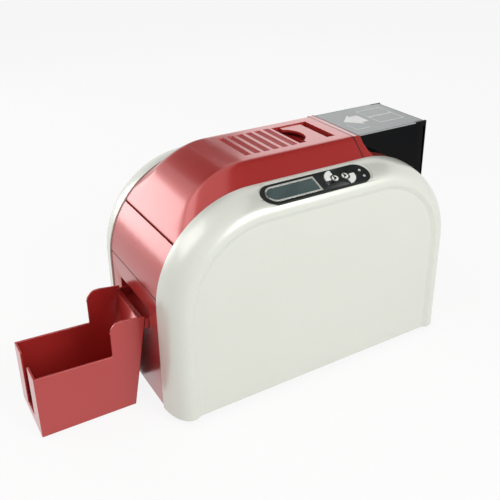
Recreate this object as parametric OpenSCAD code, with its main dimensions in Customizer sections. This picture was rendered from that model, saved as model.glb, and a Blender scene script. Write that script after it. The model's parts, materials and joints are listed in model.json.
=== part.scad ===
// Desktop printer for plastic ID cards. All sizes are in millimetres.
// X runs from the card exit towards the card cassette, Z is up and the table is Z = 0.
// The origin is the middle of the whole outline, on the table.

/* [Body] */
// Length of the body between the ends of the side covers
body_l = 366; // [356:1:376]
// Width of the painted band between the two side covers
band_w = 128; // [126:1:134]
// How far each side cover swells out from its seam
cover_d = 36; // [33:1:38]
// Width of a side cover's rounded edge, seen from the side
bevel_w = 20; // [18:1:22]
// Height of the side covers above their lower edge
arch_h = 233; // [230:1:238]
// Radius of the two upper corners of the side covers
arch_r = 110; // [107:1:111]
// Height of the lower edge above the table
foot_h = 7; // [6:0.5:9]
// Wall thickness of the mouldings
wall = 2.4; // [2.2:0.1:2.6]
// How far the side covers stand proud of the painted band
lip = 1.5; // [1.2:0.1:1.8]
// Gap at the seams between mouldings
seam_gap = 0.4; // [0.3:0.1:0.5]

/* [Top cover] */
// Height of the flat crown above the side covers
crown_h = 18.3; // [16:0.1:19]
// Width of the flat crown
crown_w = 87.4; // [86.5:0.1:90]
// Radius of the crown's forward curve
crown_r = 89; // [89:0.5:93]
// Radius of the hinge knuckles
knuckle_r = 4; // [3.8:0.1:4.2]
// Radius of the hinge pin
pin_r = 1.6; // [1.5:0.1:1.8]
// Number of louvres
louvres = 6; // [4:1:6]
// Distance from one louvre to the next
louvre_pitch = 11.7; // [11:0.1:12]
// Thickness of the latch plate
latch_t = 3; // [2.6:0.1:3.2]

/* [Cassette] */
// Length of the card cassette along the body
cass_l = 103; // [101:0.5:104]
// Width of the card cassette
cass_w = 85.4; // [84:0.2:86]
// Wall thickness of the cassette
cass_wall = 2; // [1.8:0.1:2.2]
// Thickness of the cassette lid
lid_t = 1.7; // [1.5:0.1:2]

/* [Card] */
// Length of a card
card_l = 85.6; // [85.4:0.1:85.8]
// Width of a card
card_w = 54; // [53.8:0.1:54.2]
// Thickness of a card
card_t = 0.8; // [0.7:0.05:0.9]

/* [Output hopper] */
// Reach of the hopper in front of the body
hopper_l = 123; // [116:1:128]
// Width of the hopper
hopper_w = 74.4; // [73:0.2:75]
// Wall thickness of the hopper
hopper_t = 2.2; // [2:0.1:2.4]
// Width of the finger slot in the hopper's end
finger_w = 26; // [24:1:30]

/* [Control panel] */
// Length of the control panel
panel_l = 134; // [130:1:136]
// Width of the control panel
panel_w = 28.6; // [28:0.1:29]
// Tilt of the control panel
panel_tilt = 21; // [20:0.5:22]
// How far the keys stand out
key_h = 0.8; // [0.6:0.1:1]

/* [Drive] */
// Radius of the driven rollers
roller_r = 7.5; // [7.3:0.1:7.6]
// Radius of the driven shafts
shaft_r = 3; // [2.8:0.1:3.1]
// Radius of the belt pulleys
pulley_r = 6.5; // [6:0.1:6.6]
// Teeth on the motor gear
motor_teeth = 14; // [14:1:16]
// Teeth on the platen gear
platen_teeth = 42; // [40:1:42]
// Radial clearance of a turning shaft
run_gap = 0.05; // [0.02:0.01:0.08]

/* [Hidden] */
$fn = 64;
seam_y = band_w / 2;
skin_y = seam_y - seam_gap;
seam_z = foot_h + arch_h;
arch_z = seam_z - arch_r;
arch_x2 = body_l - arch_r;
top_z = seam_z + crown_h;
land_w = 3;
step_w = 5;
step_d = 2.7;
panel_inset = bevel_w + land_w + step_w;
flange_w = 10;
flange_t = (cover_d - wall) * sin(7.5);

cass_x2 = body_l + 1.6;
cass_x1 = cass_x2 - cass_l;
slab_x2 = cass_x1 - 1.1;
slab_x1 = slab_x2 - 6.8;
bay_y = cass_w / 2 + 0.9;
plate_y = bay_y + wall + 1;
plate_t = 1.6;

mid_x = (cass_x2 - hopper_l) / 2;

card_z = foot_h + 105.5;
drive_z = card_z - card_t / 2 - 0.1 - roller_r;
exit_x = 30;
platen_x = slab_x1 - 126.7;
feed_x = slab_x1 - 16.7;
clean_x = slab_x1 - 51.7;
pick_x = cass_x1 + 50.4;
pick_r = 12;
pick_z = card_z - card_t / 2 - 0.1 - pick_r;
pinch_r = 5;
pinch_z = card_z + card_t / 2 + 0.15 + pinch_r;
clean_r = 6;
clean_z = card_z + card_t / 2 + 0.4 + clean_r;
roller_y = 24.5;
belt_t = 1.2;
belt_gap = 0.3;
gear_m = 1;
motor_z = drive_z - gear_m * (motor_teeth + platen_teeth) / 2;

supply = [slab_x1 - 42.7, card_z + 45.5];
take_up = [slab_x1 - 178.7, card_z + 37.5];
supply_r = 16.5;
take_up_r = 13;
guide_r = 3;
guide_z = card_z + 4.3;
guide_in = [slab_x1 - 100.7, guide_z];
guide_out = [slab_x1 - 152.7, guide_z];
arm_pivot = [slab_x1 - 84.7, card_z + 29.5];

line_low = foot_h + 132;
arch_c = [arch_r, arch_z];
skin_r = arch_r - lip;
crown_c = [arch_r + 6.6, top_z - crown_r];
hinge_ang = tangent_ang(arch_c, skin_r, crown_c, crown_r);
hinge_n = [cos(hinge_ang), sin(hinge_ang)];
hinge_p = arch_c + (skin_r - knuckle_r - 0.2) * hinge_n;
open_ang = 70;
hinge_gap_r = knuckle_r / cos(open_ang / 2) + 0.35;
cover_x2 = slab_x1 - 0.4;

latch_x1 = slab_x1 - 62;
latch_x2 = slab_x1 - 14.7;
latch_y = 29.2;
latch_floor = top_z - 9;

lid_pivot = [cass_x2 - 4.2, top_z - 0.3 - 4.1];
lid_top = top_z - 0.3;

window_y = hopper_w / 2 + 1.3;
window_z1 = foot_h + 85;
window_z2 = foot_h + 109.5;

panel_y = -seam_y - 3;
panel_z = seam_z - 0.1;
panel_x1 = 112;
panel_s = 17.9;
panel_x2 = panel_x1 + panel_l;
display_x = panel_x1 + 5;
display_l = panel_l - 71.2;
display_h = 21.6;
keys_x = panel_x2 - 43.4;
lamp_x = panel_x2 - 9.1;

red = [0.66, 0.26, 0.26];
silver = [0.85, 0.86, 0.82];
black = [0.08, 0.08, 0.09];
steel = [0.7, 0.71, 0.73];
grey = [0.62, 0.64, 0.64];
rubber = [0.13, 0.13, 0.13];
white = [0.93, 0.94, 0.95];

// Angle of the common outer tangent's normal for two circles.
function tangent_ang(a, ra, b, rb, side = 1) =
  atan2(b[1] - a[1], b[0] - a[0]) + side * acos((ra - rb) / norm(b - a));

function at_ang(c, r, a) = c + r * [cos(a), sin(a)];

// Outer curve of a side cover: distance in from the edge, distance out from the seam.
function cover_curve(w) = [
  for (a = [0 : 7.5 : 90]) [w + (bevel_w - w) * (1 - cos(a)), (cover_d - w) * sin(a)]
];

function reversed(v) = [for (i = [len(v) - 1 : -1 : 0]) v[i]];

// Moves a piece from body coordinates to the middle of the outline.
module placed() {
  translate([-mid_x, 0, 0])
    children();
}

// Stands a side-view drawing up and gives it a width from y1 to y2.
module side_view(y1, y2) {
  translate([0, y2, 0])
    rotate([90, 0, 0])
      linear_extrude(height = y2 - y1)
        children();
}

// A round bar across the body.
module cross_bar(p, r, y1, y2) {
  side_view(y1, y2)
    translate(p)
      circle(r = r);
}

// The arched outline of the body, drawn in by an even amount.
module arch_shape(inset, low = foot_h) {
  union() {
    translate([inset, low])
      square([body_l - 2 * inset, arch_z - low]);
    translate([arch_r, low])
      square([body_l - 2 * arch_r, seam_z - inset - low]);
    translate([arch_r, arch_z])
      circle(r = arch_r - inset);
    translate([arch_x2, arch_z])
      circle(r = arch_r - inset);
  }
}

// The skin of the painted band, kept where the children are.
module band_skin(y1, y2) {
  side_view(y1, y2)
    intersection() {
      difference() {
        arch_shape(lip);
        arch_shape(lip + wall, foot_h - 5);
      }
      children();
    }
}

// A slot with two round ends, lying along X.
module stadium(l, w) {
  union() {
    translate([w / 2, -w / 2])
      square([l - w, w]);
    translate([w / 2, 0])
      circle(d = w);
    translate([l - w / 2, 0])
      circle(d = w);
  }
}

// Moves a drawing onto the sloping face of the control panel.
module on_panel(h = 0) {
  translate([0, panel_y, panel_z])
    rotate([panel_tilt, 0, 0])
      translate([0, 0, h])
        children();
}

// Section of a side cover through its edge.
module cover_section() {
  inner = [for (p = cover_curve(wall)) if (p[1] > 2) p];
  polygon(concat(
    [[flange_w, 0]],
    cover_curve(0),
    [[bevel_w + land_w, cover_d],
     [panel_inset, cover_d - step_d],
     [panel_inset + 1, cover_d - step_d],
     [panel_inset + 1, cover_d - step_d - wall],
     [panel_inset - 0.8, cover_d - step_d - wall],
     [bevel_w + land_w - 0.6, cover_d - wall]],
    reversed(inner),
    [[flange_w, inner[0][1]]]
  ));
}

// One side cover as a shell, on the near side of the body.
module side_shell() {
  union() {
    translate([0, 0, foot_h])
      linear_extrude(height = arch_z - foot_h)
        translate([0, -seam_y])
          mirror([0, 1])
            cover_section();
    translate([body_l, 0, foot_h])
      linear_extrude(height = arch_z - foot_h)
        translate([0, -seam_y])
          rotate(180)
            cover_section();
    translate([arch_r, -seam_y, seam_z])
      rotate([90, 0, 90])
        linear_extrude(height = body_l - 2 * arch_r)
          mirror([1, 1])
            cover_section();
    for (side = [0, 1])
      translate([side == 0 ? arch_r : arch_x2, 0, arch_z])
        rotate([90, 0, 0])
          rotate([0, 0, side == 0 ? 90 : 0])
            rotate_extrude(angle = 90)
              translate([arch_r, seam_y])
                mirror([1, 0])
                  cover_section();
    side_view(-seam_y - cover_d + step_d, -seam_y - cover_d + step_d + wall)
      arch_shape(panel_inset + 0.4);
  }
}

module near_side_cover() {
  boss = 17.4;
  color(silver)
    placed()
      difference() {
        union() {
          side_shell();
          intersection() {
            translate([panel_x1 - 8, -seam_y, seam_z])
              rotate([90, 0, 90])
                linear_extrude(height = panel_l + 16)
                  polygon(concat(
                    [for (p = cover_curve(0.8)) [-p[1], -p[0]]],
                    [[-cover_d + 1.4, -bevel_w - 4], [0, -bevel_w - 4]]
                  ));
            on_panel(-5)
              translate([panel_x1 - 3, -panel_s, 0])
                linear_extrude(height = 14)
                  stadium(panel_l + 6, 2 * boss);
          }
        }
        on_panel(-2)
          translate([panel_x1 - 0.3, -panel_s, 0])
            linear_extrude(height = 16)
              stadium(panel_l + 0.6, panel_w + 0.6);
        on_panel(0.3)
          translate([panel_x1 - 2.5, -panel_s, 0])
            linear_extrude(height = 16)
              stadium(panel_l + 5, panel_w + 5);
      }
}

module far_side_cover() {
  color(silver)
    placed()
      mirror([0, 1, 0])
        side_shell();
}

module lower_front_panel() {
  box_l = 12;
  liner = 1.6;
  color(red)
    placed()
      difference() {
        union() {
          band_skin(-skin_y, skin_y)
            translate([-5, 0])
              square([40, line_low - seam_gap / 2]);
          translate([lip, -window_y - liner, window_z1 - liner])
            cube([box_l + wall, 2 * (window_y + liner), window_z2 - window_z1 + 2 * liner]);
          for (y = [-52, 52])
            translate([lip + 0.5, y - 2, foot_h + 6])
              cube([9, 4, 60]);
        }
        translate([-1, -window_y, window_z1])
          cube([lip + 1 + box_l + wall - liner, 2 * window_y, window_z2 - window_z1]);
        translate([0, -card_w / 2 - 2.5, card_z - 2.6])
          cube([30, card_w + 5, 5.2]);
      }
}

module middle_front_panel() {
  ear_t = 4;
  ear_r = knuckle_r - 1.1;
  color(red)
    placed()
      difference() {
        union() {
          band_skin(-skin_y, skin_y)
            difference() {
              translate([-5, line_low + seam_gap / 2])
                square([arch_r, seam_z]);
              polygon([arch_c, arch_c + 2 * arch_r * hinge_n, [body_l, 2 * seam_z], [body_l, arch_z]]);
              translate(hinge_p)
                circle(r = hinge_gap_r);
            }
          translate([lip + wall + 0.3, -skin_y + 4, line_low - 6])
            cube([1.8, 2 * (skin_y - 4), 9]);
          translate([lip + 0.9, -skin_y + 4, line_low + 0.5])
            cube([wall + 1.1, 2 * (skin_y - 4), 2]);
          for (y = [-40, 40])
            side_view(y - ear_t / 2, y + ear_t / 2)
              union() {
                translate(hinge_p)
                  circle(r = ear_r);
                polygon([
                  at_ang(hinge_p, ear_r, hinge_ang + 80),
                  hinge_p - ear_r * hinge_n,
                  at_ang(arch_c, skin_r - wall - 12, hinge_ang + 10),
                  at_ang(arch_c, skin_r - wall - 4, hinge_ang + 16),
                  at_ang(arch_c, skin_r - wall + 1, hinge_ang + 12),
                  at_ang(arch_c, skin_r - wall + 1, hinge_ang + 4)
                ]);
              }
        }
        cross_bar(hinge_p, pin_r + 0.02, -seam_y, seam_y);
      }
}

module shoulder_section() {
  polygon([
    [-skin_y, foot_h + 200], [skin_y, foot_h + 200], [skin_y, seam_z - lip],
    [crown_w / 2, top_z], [-crown_w / 2, top_z], [-skin_y, seam_z - lip]
  ]);
}

module rear_casing() {
  saddle_r = 21.5;
  saddle_x = slab_x2 + saddle_r + 2;
  floor_z = card_z - 3.1;
  socket_z = foot_h + 20;
  color(red)
    placed()
      difference() {
        union() {
          intersection() {
            side_view(-skin_y, skin_y)
              difference() {
                union() {
                  translate([slab_x1, seam_z - 8])
                    square([slab_x2 - slab_x1, crown_h + 8]);
                  translate([slab_x2 - 1, seam_z - 14])
                    square([saddle_x - slab_x2 + 1, crown_h + 14]);
                }
                translate([saddle_x, seam_z + saddle_r - 8])
                  circle(r = saddle_r);
                translate([saddle_x - 1, seam_z + saddle_r - 8])
                  square([saddle_r, saddle_r]);
                translate([saddle_x - saddle_r, seam_z + saddle_r - 8])
                  square([2 * saddle_r, saddle_r]);
              }
            translate([slab_x1 - 1, 0, 0])
              rotate([90, 0, 90])
                linear_extrude(height = 60)
                  shoulder_section();
          }
          intersection() {
            side_view(-skin_y, skin_y)
              difference() {
                arch_shape(lip);
                arch_shape(lip + wall, foot_h - 5);
              }
            translate([slab_x2 - 1, -seam_y, foot_h - 1])
              cube([body_l - slab_x2 + 6, band_w, seam_z]);
          }
          translate([slab_x2 - 4.5, -bay_y - wall, floor_z - wall])
            cube([4.5, 2 * (bay_y + wall), seam_z - floor_z]);
          intersection() {
            side_view(-bay_y - wall, bay_y + wall)
              arch_shape(lip + 0.6);
            translate([slab_x2 - 1, -bay_y - wall, floor_z - wall])
              cube([body_l - slab_x2 + 6, 2 * (bay_y + wall), seam_z]);
          }
          for (y = [-26, 26])
            translate([latch_x2 - 23, y - 2, seam_z - 10])
              cube([slab_x2 - latch_x2 + 22, 4, 6]);
          translate([latch_x2 - 23, -28, seam_z - 8])
            cube([4, 56, 4]);
        }
        translate([slab_x2, -bay_y, floor_z])
          cube([body_l - slab_x2 + 10, 2 * bay_y, seam_z]);
        translate([slab_x2 - 10, -card_w / 2 - 2, card_z - 2])
          cube([20, card_w + 4, 4.5]);
        translate([pick_x - pick_r - 2, -roller_y - 3, floor_z - 10])
          cube([2 * pick_r + 4, 2 * roller_y + 6, 20]);
        translate([body_l - 8, -26, socket_z])
          cube([12, 13, 12]);
        translate([body_l - 8, 12, socket_z])
          cube([12, 13, 12]);
        translate([body_l - 8, 36, socket_z - 2])
          cube([12, 14, 21]);
        for (k = [0 : 6])
          translate([body_l - 8, -24, foot_h + 50 + k * 6])
            cube([12, 48, 2.6]);
      }
}

module base_tray() {
  edge = wall + 0.8;
  far_edge = [for (p = cover_curve(edge)) [p[0], seam_y + p[1] - 0.2]];
  left = concat([for (p = reversed(far_edge)) [p[0], p[1]]], [for (p = far_edge) [p[0], -p[1]]]);
  rim_x = lip + wall + 0.4;
  rim_y = seam_y + cover_d - step_d - wall - 0.4;
  color(black)
    placed()
      difference() {
        translate([0, 0, foot_h + 1])
          linear_extrude(height = 3)
            intersection() {
              polygon(concat(left, [for (p = reversed(left)) [body_l - p[0], p[1]]]));
              translate([rim_x, -rim_y])
                square([body_l - 2 * rim_x, 2 * rim_y]);
            }
        for (x = [-0.4, body_l - flange_w])
          for (y = [-seam_y - flange_t - 0.4, seam_y - 0.4])
            translate([x, y, foot_h])
              cube([flange_w + 0.4, flange_t + 0.8, 6]);
        for (k = [0 : 11])
          for (y = [-26, 14])
            translate([90 + k * 8, y, foot_h])
              cube([3, 24, 6]);
        for (x = [40, body_l - 40])
          for (y = [-78, 78])
            translate([x, y, foot_h])
              cylinder(r = 2, h = 6);
        for (x = [60, body_l - 60])
          for (y = [-53, 53])
            translate([x, y, foot_h])
              cylinder(r = 1.52, h = 6);
      }
}

module rubber_feet() {
  color(rubber)
    placed()
      for (x = [40, body_l - 40])
        for (y = [-78, 78])
          translate([x, y, 0])
            difference() {
              union() {
                cylinder(r1 = 8.5, r2 = 9.5, h = foot_h + 1);
                cylinder(r = 1.95, h = foot_h + 4);
              }
              translate([0, 0, -1])
                cylinder(r = 3, h = 2.4);
            }
}

// One side plate of the chassis, with its bores and its open seats for the ribbon spools.
module chassis_plate(y) {
  low = foot_h + 4;
  step_x = slab_x1 - 4.7;
  rise = card_z + 72;
  side_view(y, y + plate_t)
    difference() {
      polygon([
        [14, low], [body_l - 18, low], [body_l - 18, card_z + 10], [step_x, card_z + 10],
        [step_x, rise], [46, rise], [14, card_z + 34]
      ]);
      for (x = [exit_x, platen_x, feed_x])
        translate([x, drive_z])
          circle(r = shaft_r + run_gap);
      translate([pick_x, pick_z])
        circle(r = shaft_r + run_gap);
      for (x = [exit_x, feed_x])
        translate([x, pinch_z])
          circle(r = 2 + run_gap);
      translate([clean_x, clean_z])
        circle(r = 2 + run_gap);
      translate(arm_pivot)
        circle(r = 2.5 + run_gap);
      translate([platen_x, motor_z])
        circle(r = 5);
      for (s = [supply, take_up]) {
        translate(s)
          circle(r = 4 + run_gap);
        translate([s[0] - 4 - run_gap, s[1]])
          square([8 + 2 * run_gap, 60]);
      }
      translate([40, foot_h + 22])
        square([60, 40]);
      translate([170, foot_h + 22])
        square([60, 50]);
    }
}

module near_chassis_plate() {
  color(steel)
    placed()
      union() {
        chassis_plate(-plate_y - plate_t);
        translate([20, -plate_y - plate_t - 9, foot_h + 4])
          cube([body_l - 40, 9.4, plate_t]);
      }
}

module far_chassis_plate() {
  color(steel)
    placed()
      union() {
        chassis_plate(plate_y);
        translate([20, plate_y + plate_t - 0.4, foot_h + 4])
          cube([body_l - 40, 9.4, plate_t]);
      }
}

module chassis_tie_bars() {
  color(steel)
    placed()
      for (p = [[26, foot_h + 70], [250, foot_h + 84], [64, card_z + 62], [226, foot_h + 14], [120, foot_h + 14]])
        cross_bar(p, 3.5, -plate_y, plate_y);
}

module card_rails() {
  ledge_y = roller_y + 0.6;
  rail_y = card_w / 2 + 0.3;
  color(steel)
    placed()
      for (side = [-1, 1])
        union() {
          translate([lip + 17, side > 0 ? ledge_y : -rail_y - 1.7, card_z - 2.4])
            cube([slab_x2 - 9 - lip - 17, rail_y + 1.7 - ledge_y, 1.8]);
          translate([lip + 17, side > 0 ? rail_y : -rail_y - 1.7, card_z - 3.4])
            cube([slab_x2 - 9 - lip - 17, 1.7, 4.4]);
          for (x = [52, 184, slab_x1 - 8])
            translate([x, side > 0 ? rail_y + 1 : -plate_y, card_z - 3.4])
              cube([6, plate_y - rail_y - 1, 1.5]);
        }
}

module ribbon_guide_bars() {
  color(steel)
    placed()
      for (p = [guide_in, guide_out])
        cross_bar(p, guide_r, -plate_y, plate_y);
}

// Teeth with straight flanks round a hub, one tooth on the given angle.
module gear_shape(teeth, phase) {
  r = gear_m * teeth / 2;
  step = 360 / teeth;
  root = r - 1.25 * gear_m;
  tip = r + 0.9 * gear_m;
  root_a = 0.27 * step;
  mid_a = 0.2 * step;
  tip_a = 0.1 * step;
  polygon([
    for (k = [0 : teeth - 1])
      for (q = [[root, -root_a], [r, -mid_a], [tip, -tip_a], [tip, tip_a], [r, mid_a], [root, root_a]])
        at_ang([0, 0], q[0], phase + k * step + q[1])
  ]);
}

module drive_motor() {
  color([0.55, 0.56, 0.58])
    placed()
      difference() {
        union() {
          cross_bar([platen_x, motor_z], 17, 6, plate_y - 2);
          cross_bar([platen_x, motor_z], 4.9, plate_y - 3, plate_y + plate_t + 0.8);
          side_view(plate_y - 2, plate_y)
            translate([platen_x - 24, motor_z - 12])
              square([48, 24]);
          side_view(2, 6.5)
            translate([platen_x, motor_z])
              circle(r = 12);
        }
        cross_bar([platen_x, motor_z], 2 + run_gap, 20, plate_y + 10);
      }
}

module motor_gear() {
  y1 = plate_y + 9;
  color([0.8, 0.68, 0.38])
    placed()
      union() {
        cross_bar([platen_x, motor_z], 2, 22, y1 + 6);
        side_view(y1, y1 + 5)
          translate([platen_x, motor_z])
            gear_shape(motor_teeth, 90);
        cross_bar([platen_x, motor_z], 4, y1 - 3, y1 + 1);
      }
}

// A flat belt round two pulleys of equal size.
module belt_shape(l) {
  in_r = pulley_r + belt_gap;
  difference() {
    translate([-in_r - belt_t, 0])
      stadium(l + 2 * (in_r + belt_t), 2 * (in_r + belt_t));
    translate([-in_r, 0])
      stadium(l + 2 * in_r, 2 * in_r);
  }
}

module drive_belt() {
  color(rubber)
    placed()
      side_view(plate_y + 3, plate_y + 7)
        translate([exit_x, drive_z])
          belt_shape(feed_x - exit_x);
}

module pick_belt() {
  run = [pick_x - feed_x, pick_z - drive_z];
  color(rubber)
    placed()
      side_view(-plate_y - 7, -plate_y - 3)
        translate([feed_x, drive_z])
          rotate(atan2(run[1], run[0]))
            belt_shape(norm(run));
}

// A steel shaft with a flat on its far end and a belt pulley between flanges.
module pulley_at(p, y1, y2) {
  union() {
    cross_bar(p, pulley_r, y1, y2);
    cross_bar(p, pulley_r + 2.2, y1 - 0.9, y1 - 0.3);
    cross_bar(p, pulley_r + 2.2, y2 + 0.3, y2 + 0.9);
    cross_bar(p, pulley_r - 1, y1 - 1, y2 + 1);
  }
}

module platen_shaft() {
  p = [platen_x, drive_z];
  y1 = plate_y + 9;
  hub = [0, 180 / platen_teeth];
  color(steel)
    placed()
      union() {
        cross_bar(p, shaft_r, -plate_y - plate_t - 1.5, y1 + 7);
        cross_bar(p, shaft_r + 1.5, -plate_y - plate_t - 1.6, -plate_y - plate_t - 0.4);
        pulley_at(p, plate_y + 3, plate_y + 7);
        difference() {
          side_view(y1, y1 + 5)
            translate(p)
              gear_shape(platen_teeth, -90 + hub[1]);
          for (k = [0 : 5])
            side_view(y1 - 1, y1 + 6)
              translate(at_ang(p, 12.5, k * 60))
                circle(r = 3.6);
        }
      }
}

// Rubber sleeve of a roller.
module tyre(p, r, y = roller_y) {
  difference() {
    cross_bar(p, r, -y, y);
    cross_bar(p, shaft_r, -y - 1, y + 1);
  }
}

module platen_tyre() {
  color(rubber)
    placed()
      tyre([platen_x, drive_z], roller_r);
}

module feed_shaft() {
  p = [feed_x, drive_z];
  color(steel)
    placed()
      union() {
        cross_bar(p, shaft_r, -plate_y - 9, plate_y + 9);
        pulley_at(p, plate_y + 3, plate_y + 7);
        pulley_at(p, -plate_y - 7, -plate_y - 3);
      }
}

module feed_tyre() {
  color(rubber)
    placed()
      tyre([feed_x, drive_z], roller_r);
}

module exit_shaft() {
  p = [exit_x, drive_z];
  color(steel)
    placed()
      union() {
        cross_bar(p, shaft_r, -plate_y - plate_t - 1.5, plate_y + 9);
        cross_bar(p, shaft_r + 1.5, -plate_y - plate_t - 1.6, -plate_y - plate_t - 0.4);
        pulley_at(p, plate_y + 3, plate_y + 7);
      }
}

module exit_tyre() {
  color(rubber)
    placed()
      tyre([exit_x, drive_z], roller_r);
}

module pick_shaft() {
  p = [pick_x, pick_z];
  color(steel)
    placed()
      union() {
        cross_bar(p, shaft_r, -plate_y - 9, plate_y + plate_t + 1.5);
        cross_bar(p, shaft_r + 1.5, plate_y + plate_t + 0.4, plate_y + plate_t + 1.6);
        pulley_at(p, -plate_y - 7, -plate_y - 3);
      }
}

module pick_tyre() {
  color(rubber)
    placed()
      for (side = [-1, 1])
        difference() {
          cross_bar([pick_x, pick_z], pick_r, side > 0 ? 6 : -20, side > 0 ? 20 : -6);
          cross_bar([pick_x, pick_z], shaft_r, -30, 30);
        }
}

// An idle roller on a thin axle.
module idle_roller(p, r, y) {
  union() {
    cross_bar(p, r, -y, y);
    cross_bar(p, 2, -plate_y - plate_t - 0.6, plate_y + plate_t + 0.6);
  }
}

module feed_pinch_roller() {
  color([0.25, 0.25, 0.26])
    placed()
      idle_roller([feed_x, pinch_z], pinch_r, roller_y - 4);
}

module exit_pinch_roller() {
  color([0.25, 0.25, 0.26])
    placed()
      idle_roller([exit_x, pinch_z], pinch_r, roller_y - 4);
}

module cleaning_roller() {
  color([0.35, 0.55, 0.8])
    placed()
      idle_roller([clean_x, clean_z], clean_r, roller_y);
}

module print_head_arm() {
  a = arm_pivot;
  color(steel)
    placed()
      union() {
        cross_bar(a, 2.5, -plate_y - plate_t - 0.6, plate_y + plate_t + 0.6);
        cross_bar(a, 4.5, -38, 38);
        for (y = [-38, 36])
          side_view(y, y + 2)
            polygon([
              a + [4, -4], a + [2, 5], a + [-32, -5], [platen_x - 12, a[1] - 5],
              [platen_x - 12, card_z + 9], [platen_x + 16, card_z + 9], a + [-4, -7]
            ]);
        translate([platen_x - 8, -38, card_z + 20])
          cube([28, 76, 2]);
      }
}

module print_head() {
  color([0.75, 0.76, 0.78])
    placed()
      union() {
        translate([platen_x - 8, -card_w / 2 + 1, card_z + 1.4])
          cube([16, card_w - 2, 3.4]);
        translate([platen_x - 11, -35.9, card_z + 4.7])
          cube([27, 71.8, 6.3]);
        for (k = [0 : 6])
          translate([platen_x - 7 + k * 3.4, -34, card_z + 10.9])
            cube([1.4, 68, 9.1]);
      }
}

// A ribbon spool: core, two flanges and two journals.
module spool(p, core_r, flange_r) {
  union() {
    cross_bar(p, core_r, -31.5, 31.5);
    for (side = [-1, 1])
      cross_bar(p, flange_r, side > 0 ? 29.5 : -31, side > 0 ? 31 : -29.5);
    cross_bar(p, 4, -plate_y - plate_t - 2, plate_y + plate_t + 2);
  }
}

module wound_film(p, core_r, roll_r) {
  difference() {
    cross_bar(p, roll_r, -26, 26);
    cross_bar(p, core_r, -27, 27);
  }
}

module supply_spool() {
  color(white)
    placed()
      spool(supply, 8, 20);
}

module supply_roll() {
  color([0.12, 0.11, 0.16])
    placed()
      wound_film(supply, 8, supply_r);
}

module take_up_spool() {
  color(white)
    placed()
      spool(take_up, 8, 18);
}

module take_up_roll() {
  color([0.12, 0.11, 0.16])
    placed()
      wound_film(take_up, 8, take_up_r);
}

// Path of the ribbon's face, a small gap away from the rolls and guide bars.
function film_path(gap) =
  let (
    in_a = tangent_ang(supply, supply_r, guide_in, guide_r) + 360,
    out_a = tangent_ang(guide_out, guide_r, take_up, take_up_r)
  )
  concat(
    [at_ang(supply, supply_r + gap, in_a)],
    [for (k = [0 : 3]) at_ang(guide_in, guide_r + gap, in_a + (270 - in_a) * k / 3)],
    [for (k = [0 : 3]) at_ang(guide_out, guide_r + gap, 270 + (out_a - 270) * k / 3)],
    [at_ang(take_up, take_up_r + gap, out_a)]
  );

module ribbon_film() {
  color([0.3, 0.2, 0.1])
    placed()
      side_view(-26, 26)
        polygon(concat(film_path(0.35), reversed(film_path(0.6))));
}

module mainboard() {
  color([0.1, 0.35, 0.2])
    placed()
      difference() {
        union() {
          translate([236, -42, foot_h + 12])
            cube([body_l - 248, 84, 1.6]);
          for (x = [241, body_l - 18])
            for (y = [-37, 37])
              translate([x, y, foot_h + 4])
                cylinder(r = 3, h = 8);
        }
        for (x = [241, body_l - 18])
          for (y = [-37, 37])
            translate([x, y, foot_h + 10])
              cylinder(r = 1.2, h = 6);
      }
}

module board_parts() {
  z = foot_h + 13.6;
  color(black)
    placed()
      union() {
        translate([262, -16, z])
          cube([26, 26, 2.4]);
        translate([300, 12, z])
          cube([14, 18, 2]);
        translate([298, -30, z])
          cube([20, 12, 2]);
        for (k = [0 : 3])
          translate([256 + k * 13, 30, z])
            cylinder(r = 5, h = 14);
        translate([240, -30, z])
          cube([8, 40, 9]);
      }
}

module usb_port() {
  z = foot_h + 20.3;
  color(grey)
    placed()
      difference() {
        translate([body_l - 19, -25.7, z])
          cube([17, 12.4, 11.4]);
        translate([body_l - 10, -23.7, z + 2])
          cube([20, 8.4, 7.4]);
      }
}

module power_inlet() {
  z = foot_h + 20.3;
  color(black)
    placed()
      union() {
        difference() {
          translate([body_l - 19, 12.3, z])
            cube([17, 12.4, 11.4]);
          translate([body_l - 12, 18.5, z + 5.7])
            rotate([0, 90, 0])
              cylinder(r = 3.6, h = 20);
        }
        translate([body_l - 13, 18.5, z + 5.7])
          rotate([0, 90, 0])
            cylinder(r = 1.1, h = 9);
      }
}

module switch_frame() {
  z = foot_h + 18.3;
  color(black)
    placed()
      difference() {
        union() {
          translate([body_l - 16, 36.3, z])
            cube([14.5, 13.4, 20.4]);
          translate([body_l - lip, 34.5, z - 1.8])
            cube([1, 17, 24]);
        }
        translate([body_l - 9, 37.8, z + 1.7])
          cube([14, 10.4, 17]);
      }
}

module power_rocker() {
  color(black)
    placed()
      translate([body_l - 6.1, 43, foot_h + 28.5])
        rotate([90, -8, 0])
          difference() {
            cylinder(r = 8.1, h = 9.8, center = true);
            translate([-10.9, -10, -10])
              cube([10, 20, 20]);
            translate([12.4, 8.4, 0])
              cylinder(r = 11, h = 20, center = true);
          }
}

module panel_bezel() {
  color(black)
    placed()
      difference() {
        on_panel(-2)
          translate([panel_x1, -panel_s, 0])
            linear_extrude(height = 2.5)
              stadium(panel_l, panel_w);
        on_panel(-1)
          translate([display_x, -18.2, 0])
            linear_extrude(height = 5)
              display_outline(0);
        for (k = [0 : 1])
          on_panel(-3)
            linear_extrude(height = 6)
              ring_outline(k, 0.25);
        for (k = [0 : 1])
          on_panel(-3)
            linear_extrude(height = 6)
              arc_outline(k, 0.25);
        for (k = [0 : 1])
          on_panel(-3)
            translate([lamp_x, -14.6 - 9.3 * k, 0])
              cylinder(r = 1.5, h = 6);
      }
}

// Outline of the display: square on the right and round on the left.
module display_outline(inset) {
  h = display_h - 2 * inset;
  union() {
    translate([display_h / 2, -h / 2])
      square([display_l - display_h / 2 - inset, h]);
    translate([display_h / 2, 0])
      circle(d = h);
  }
}

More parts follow.
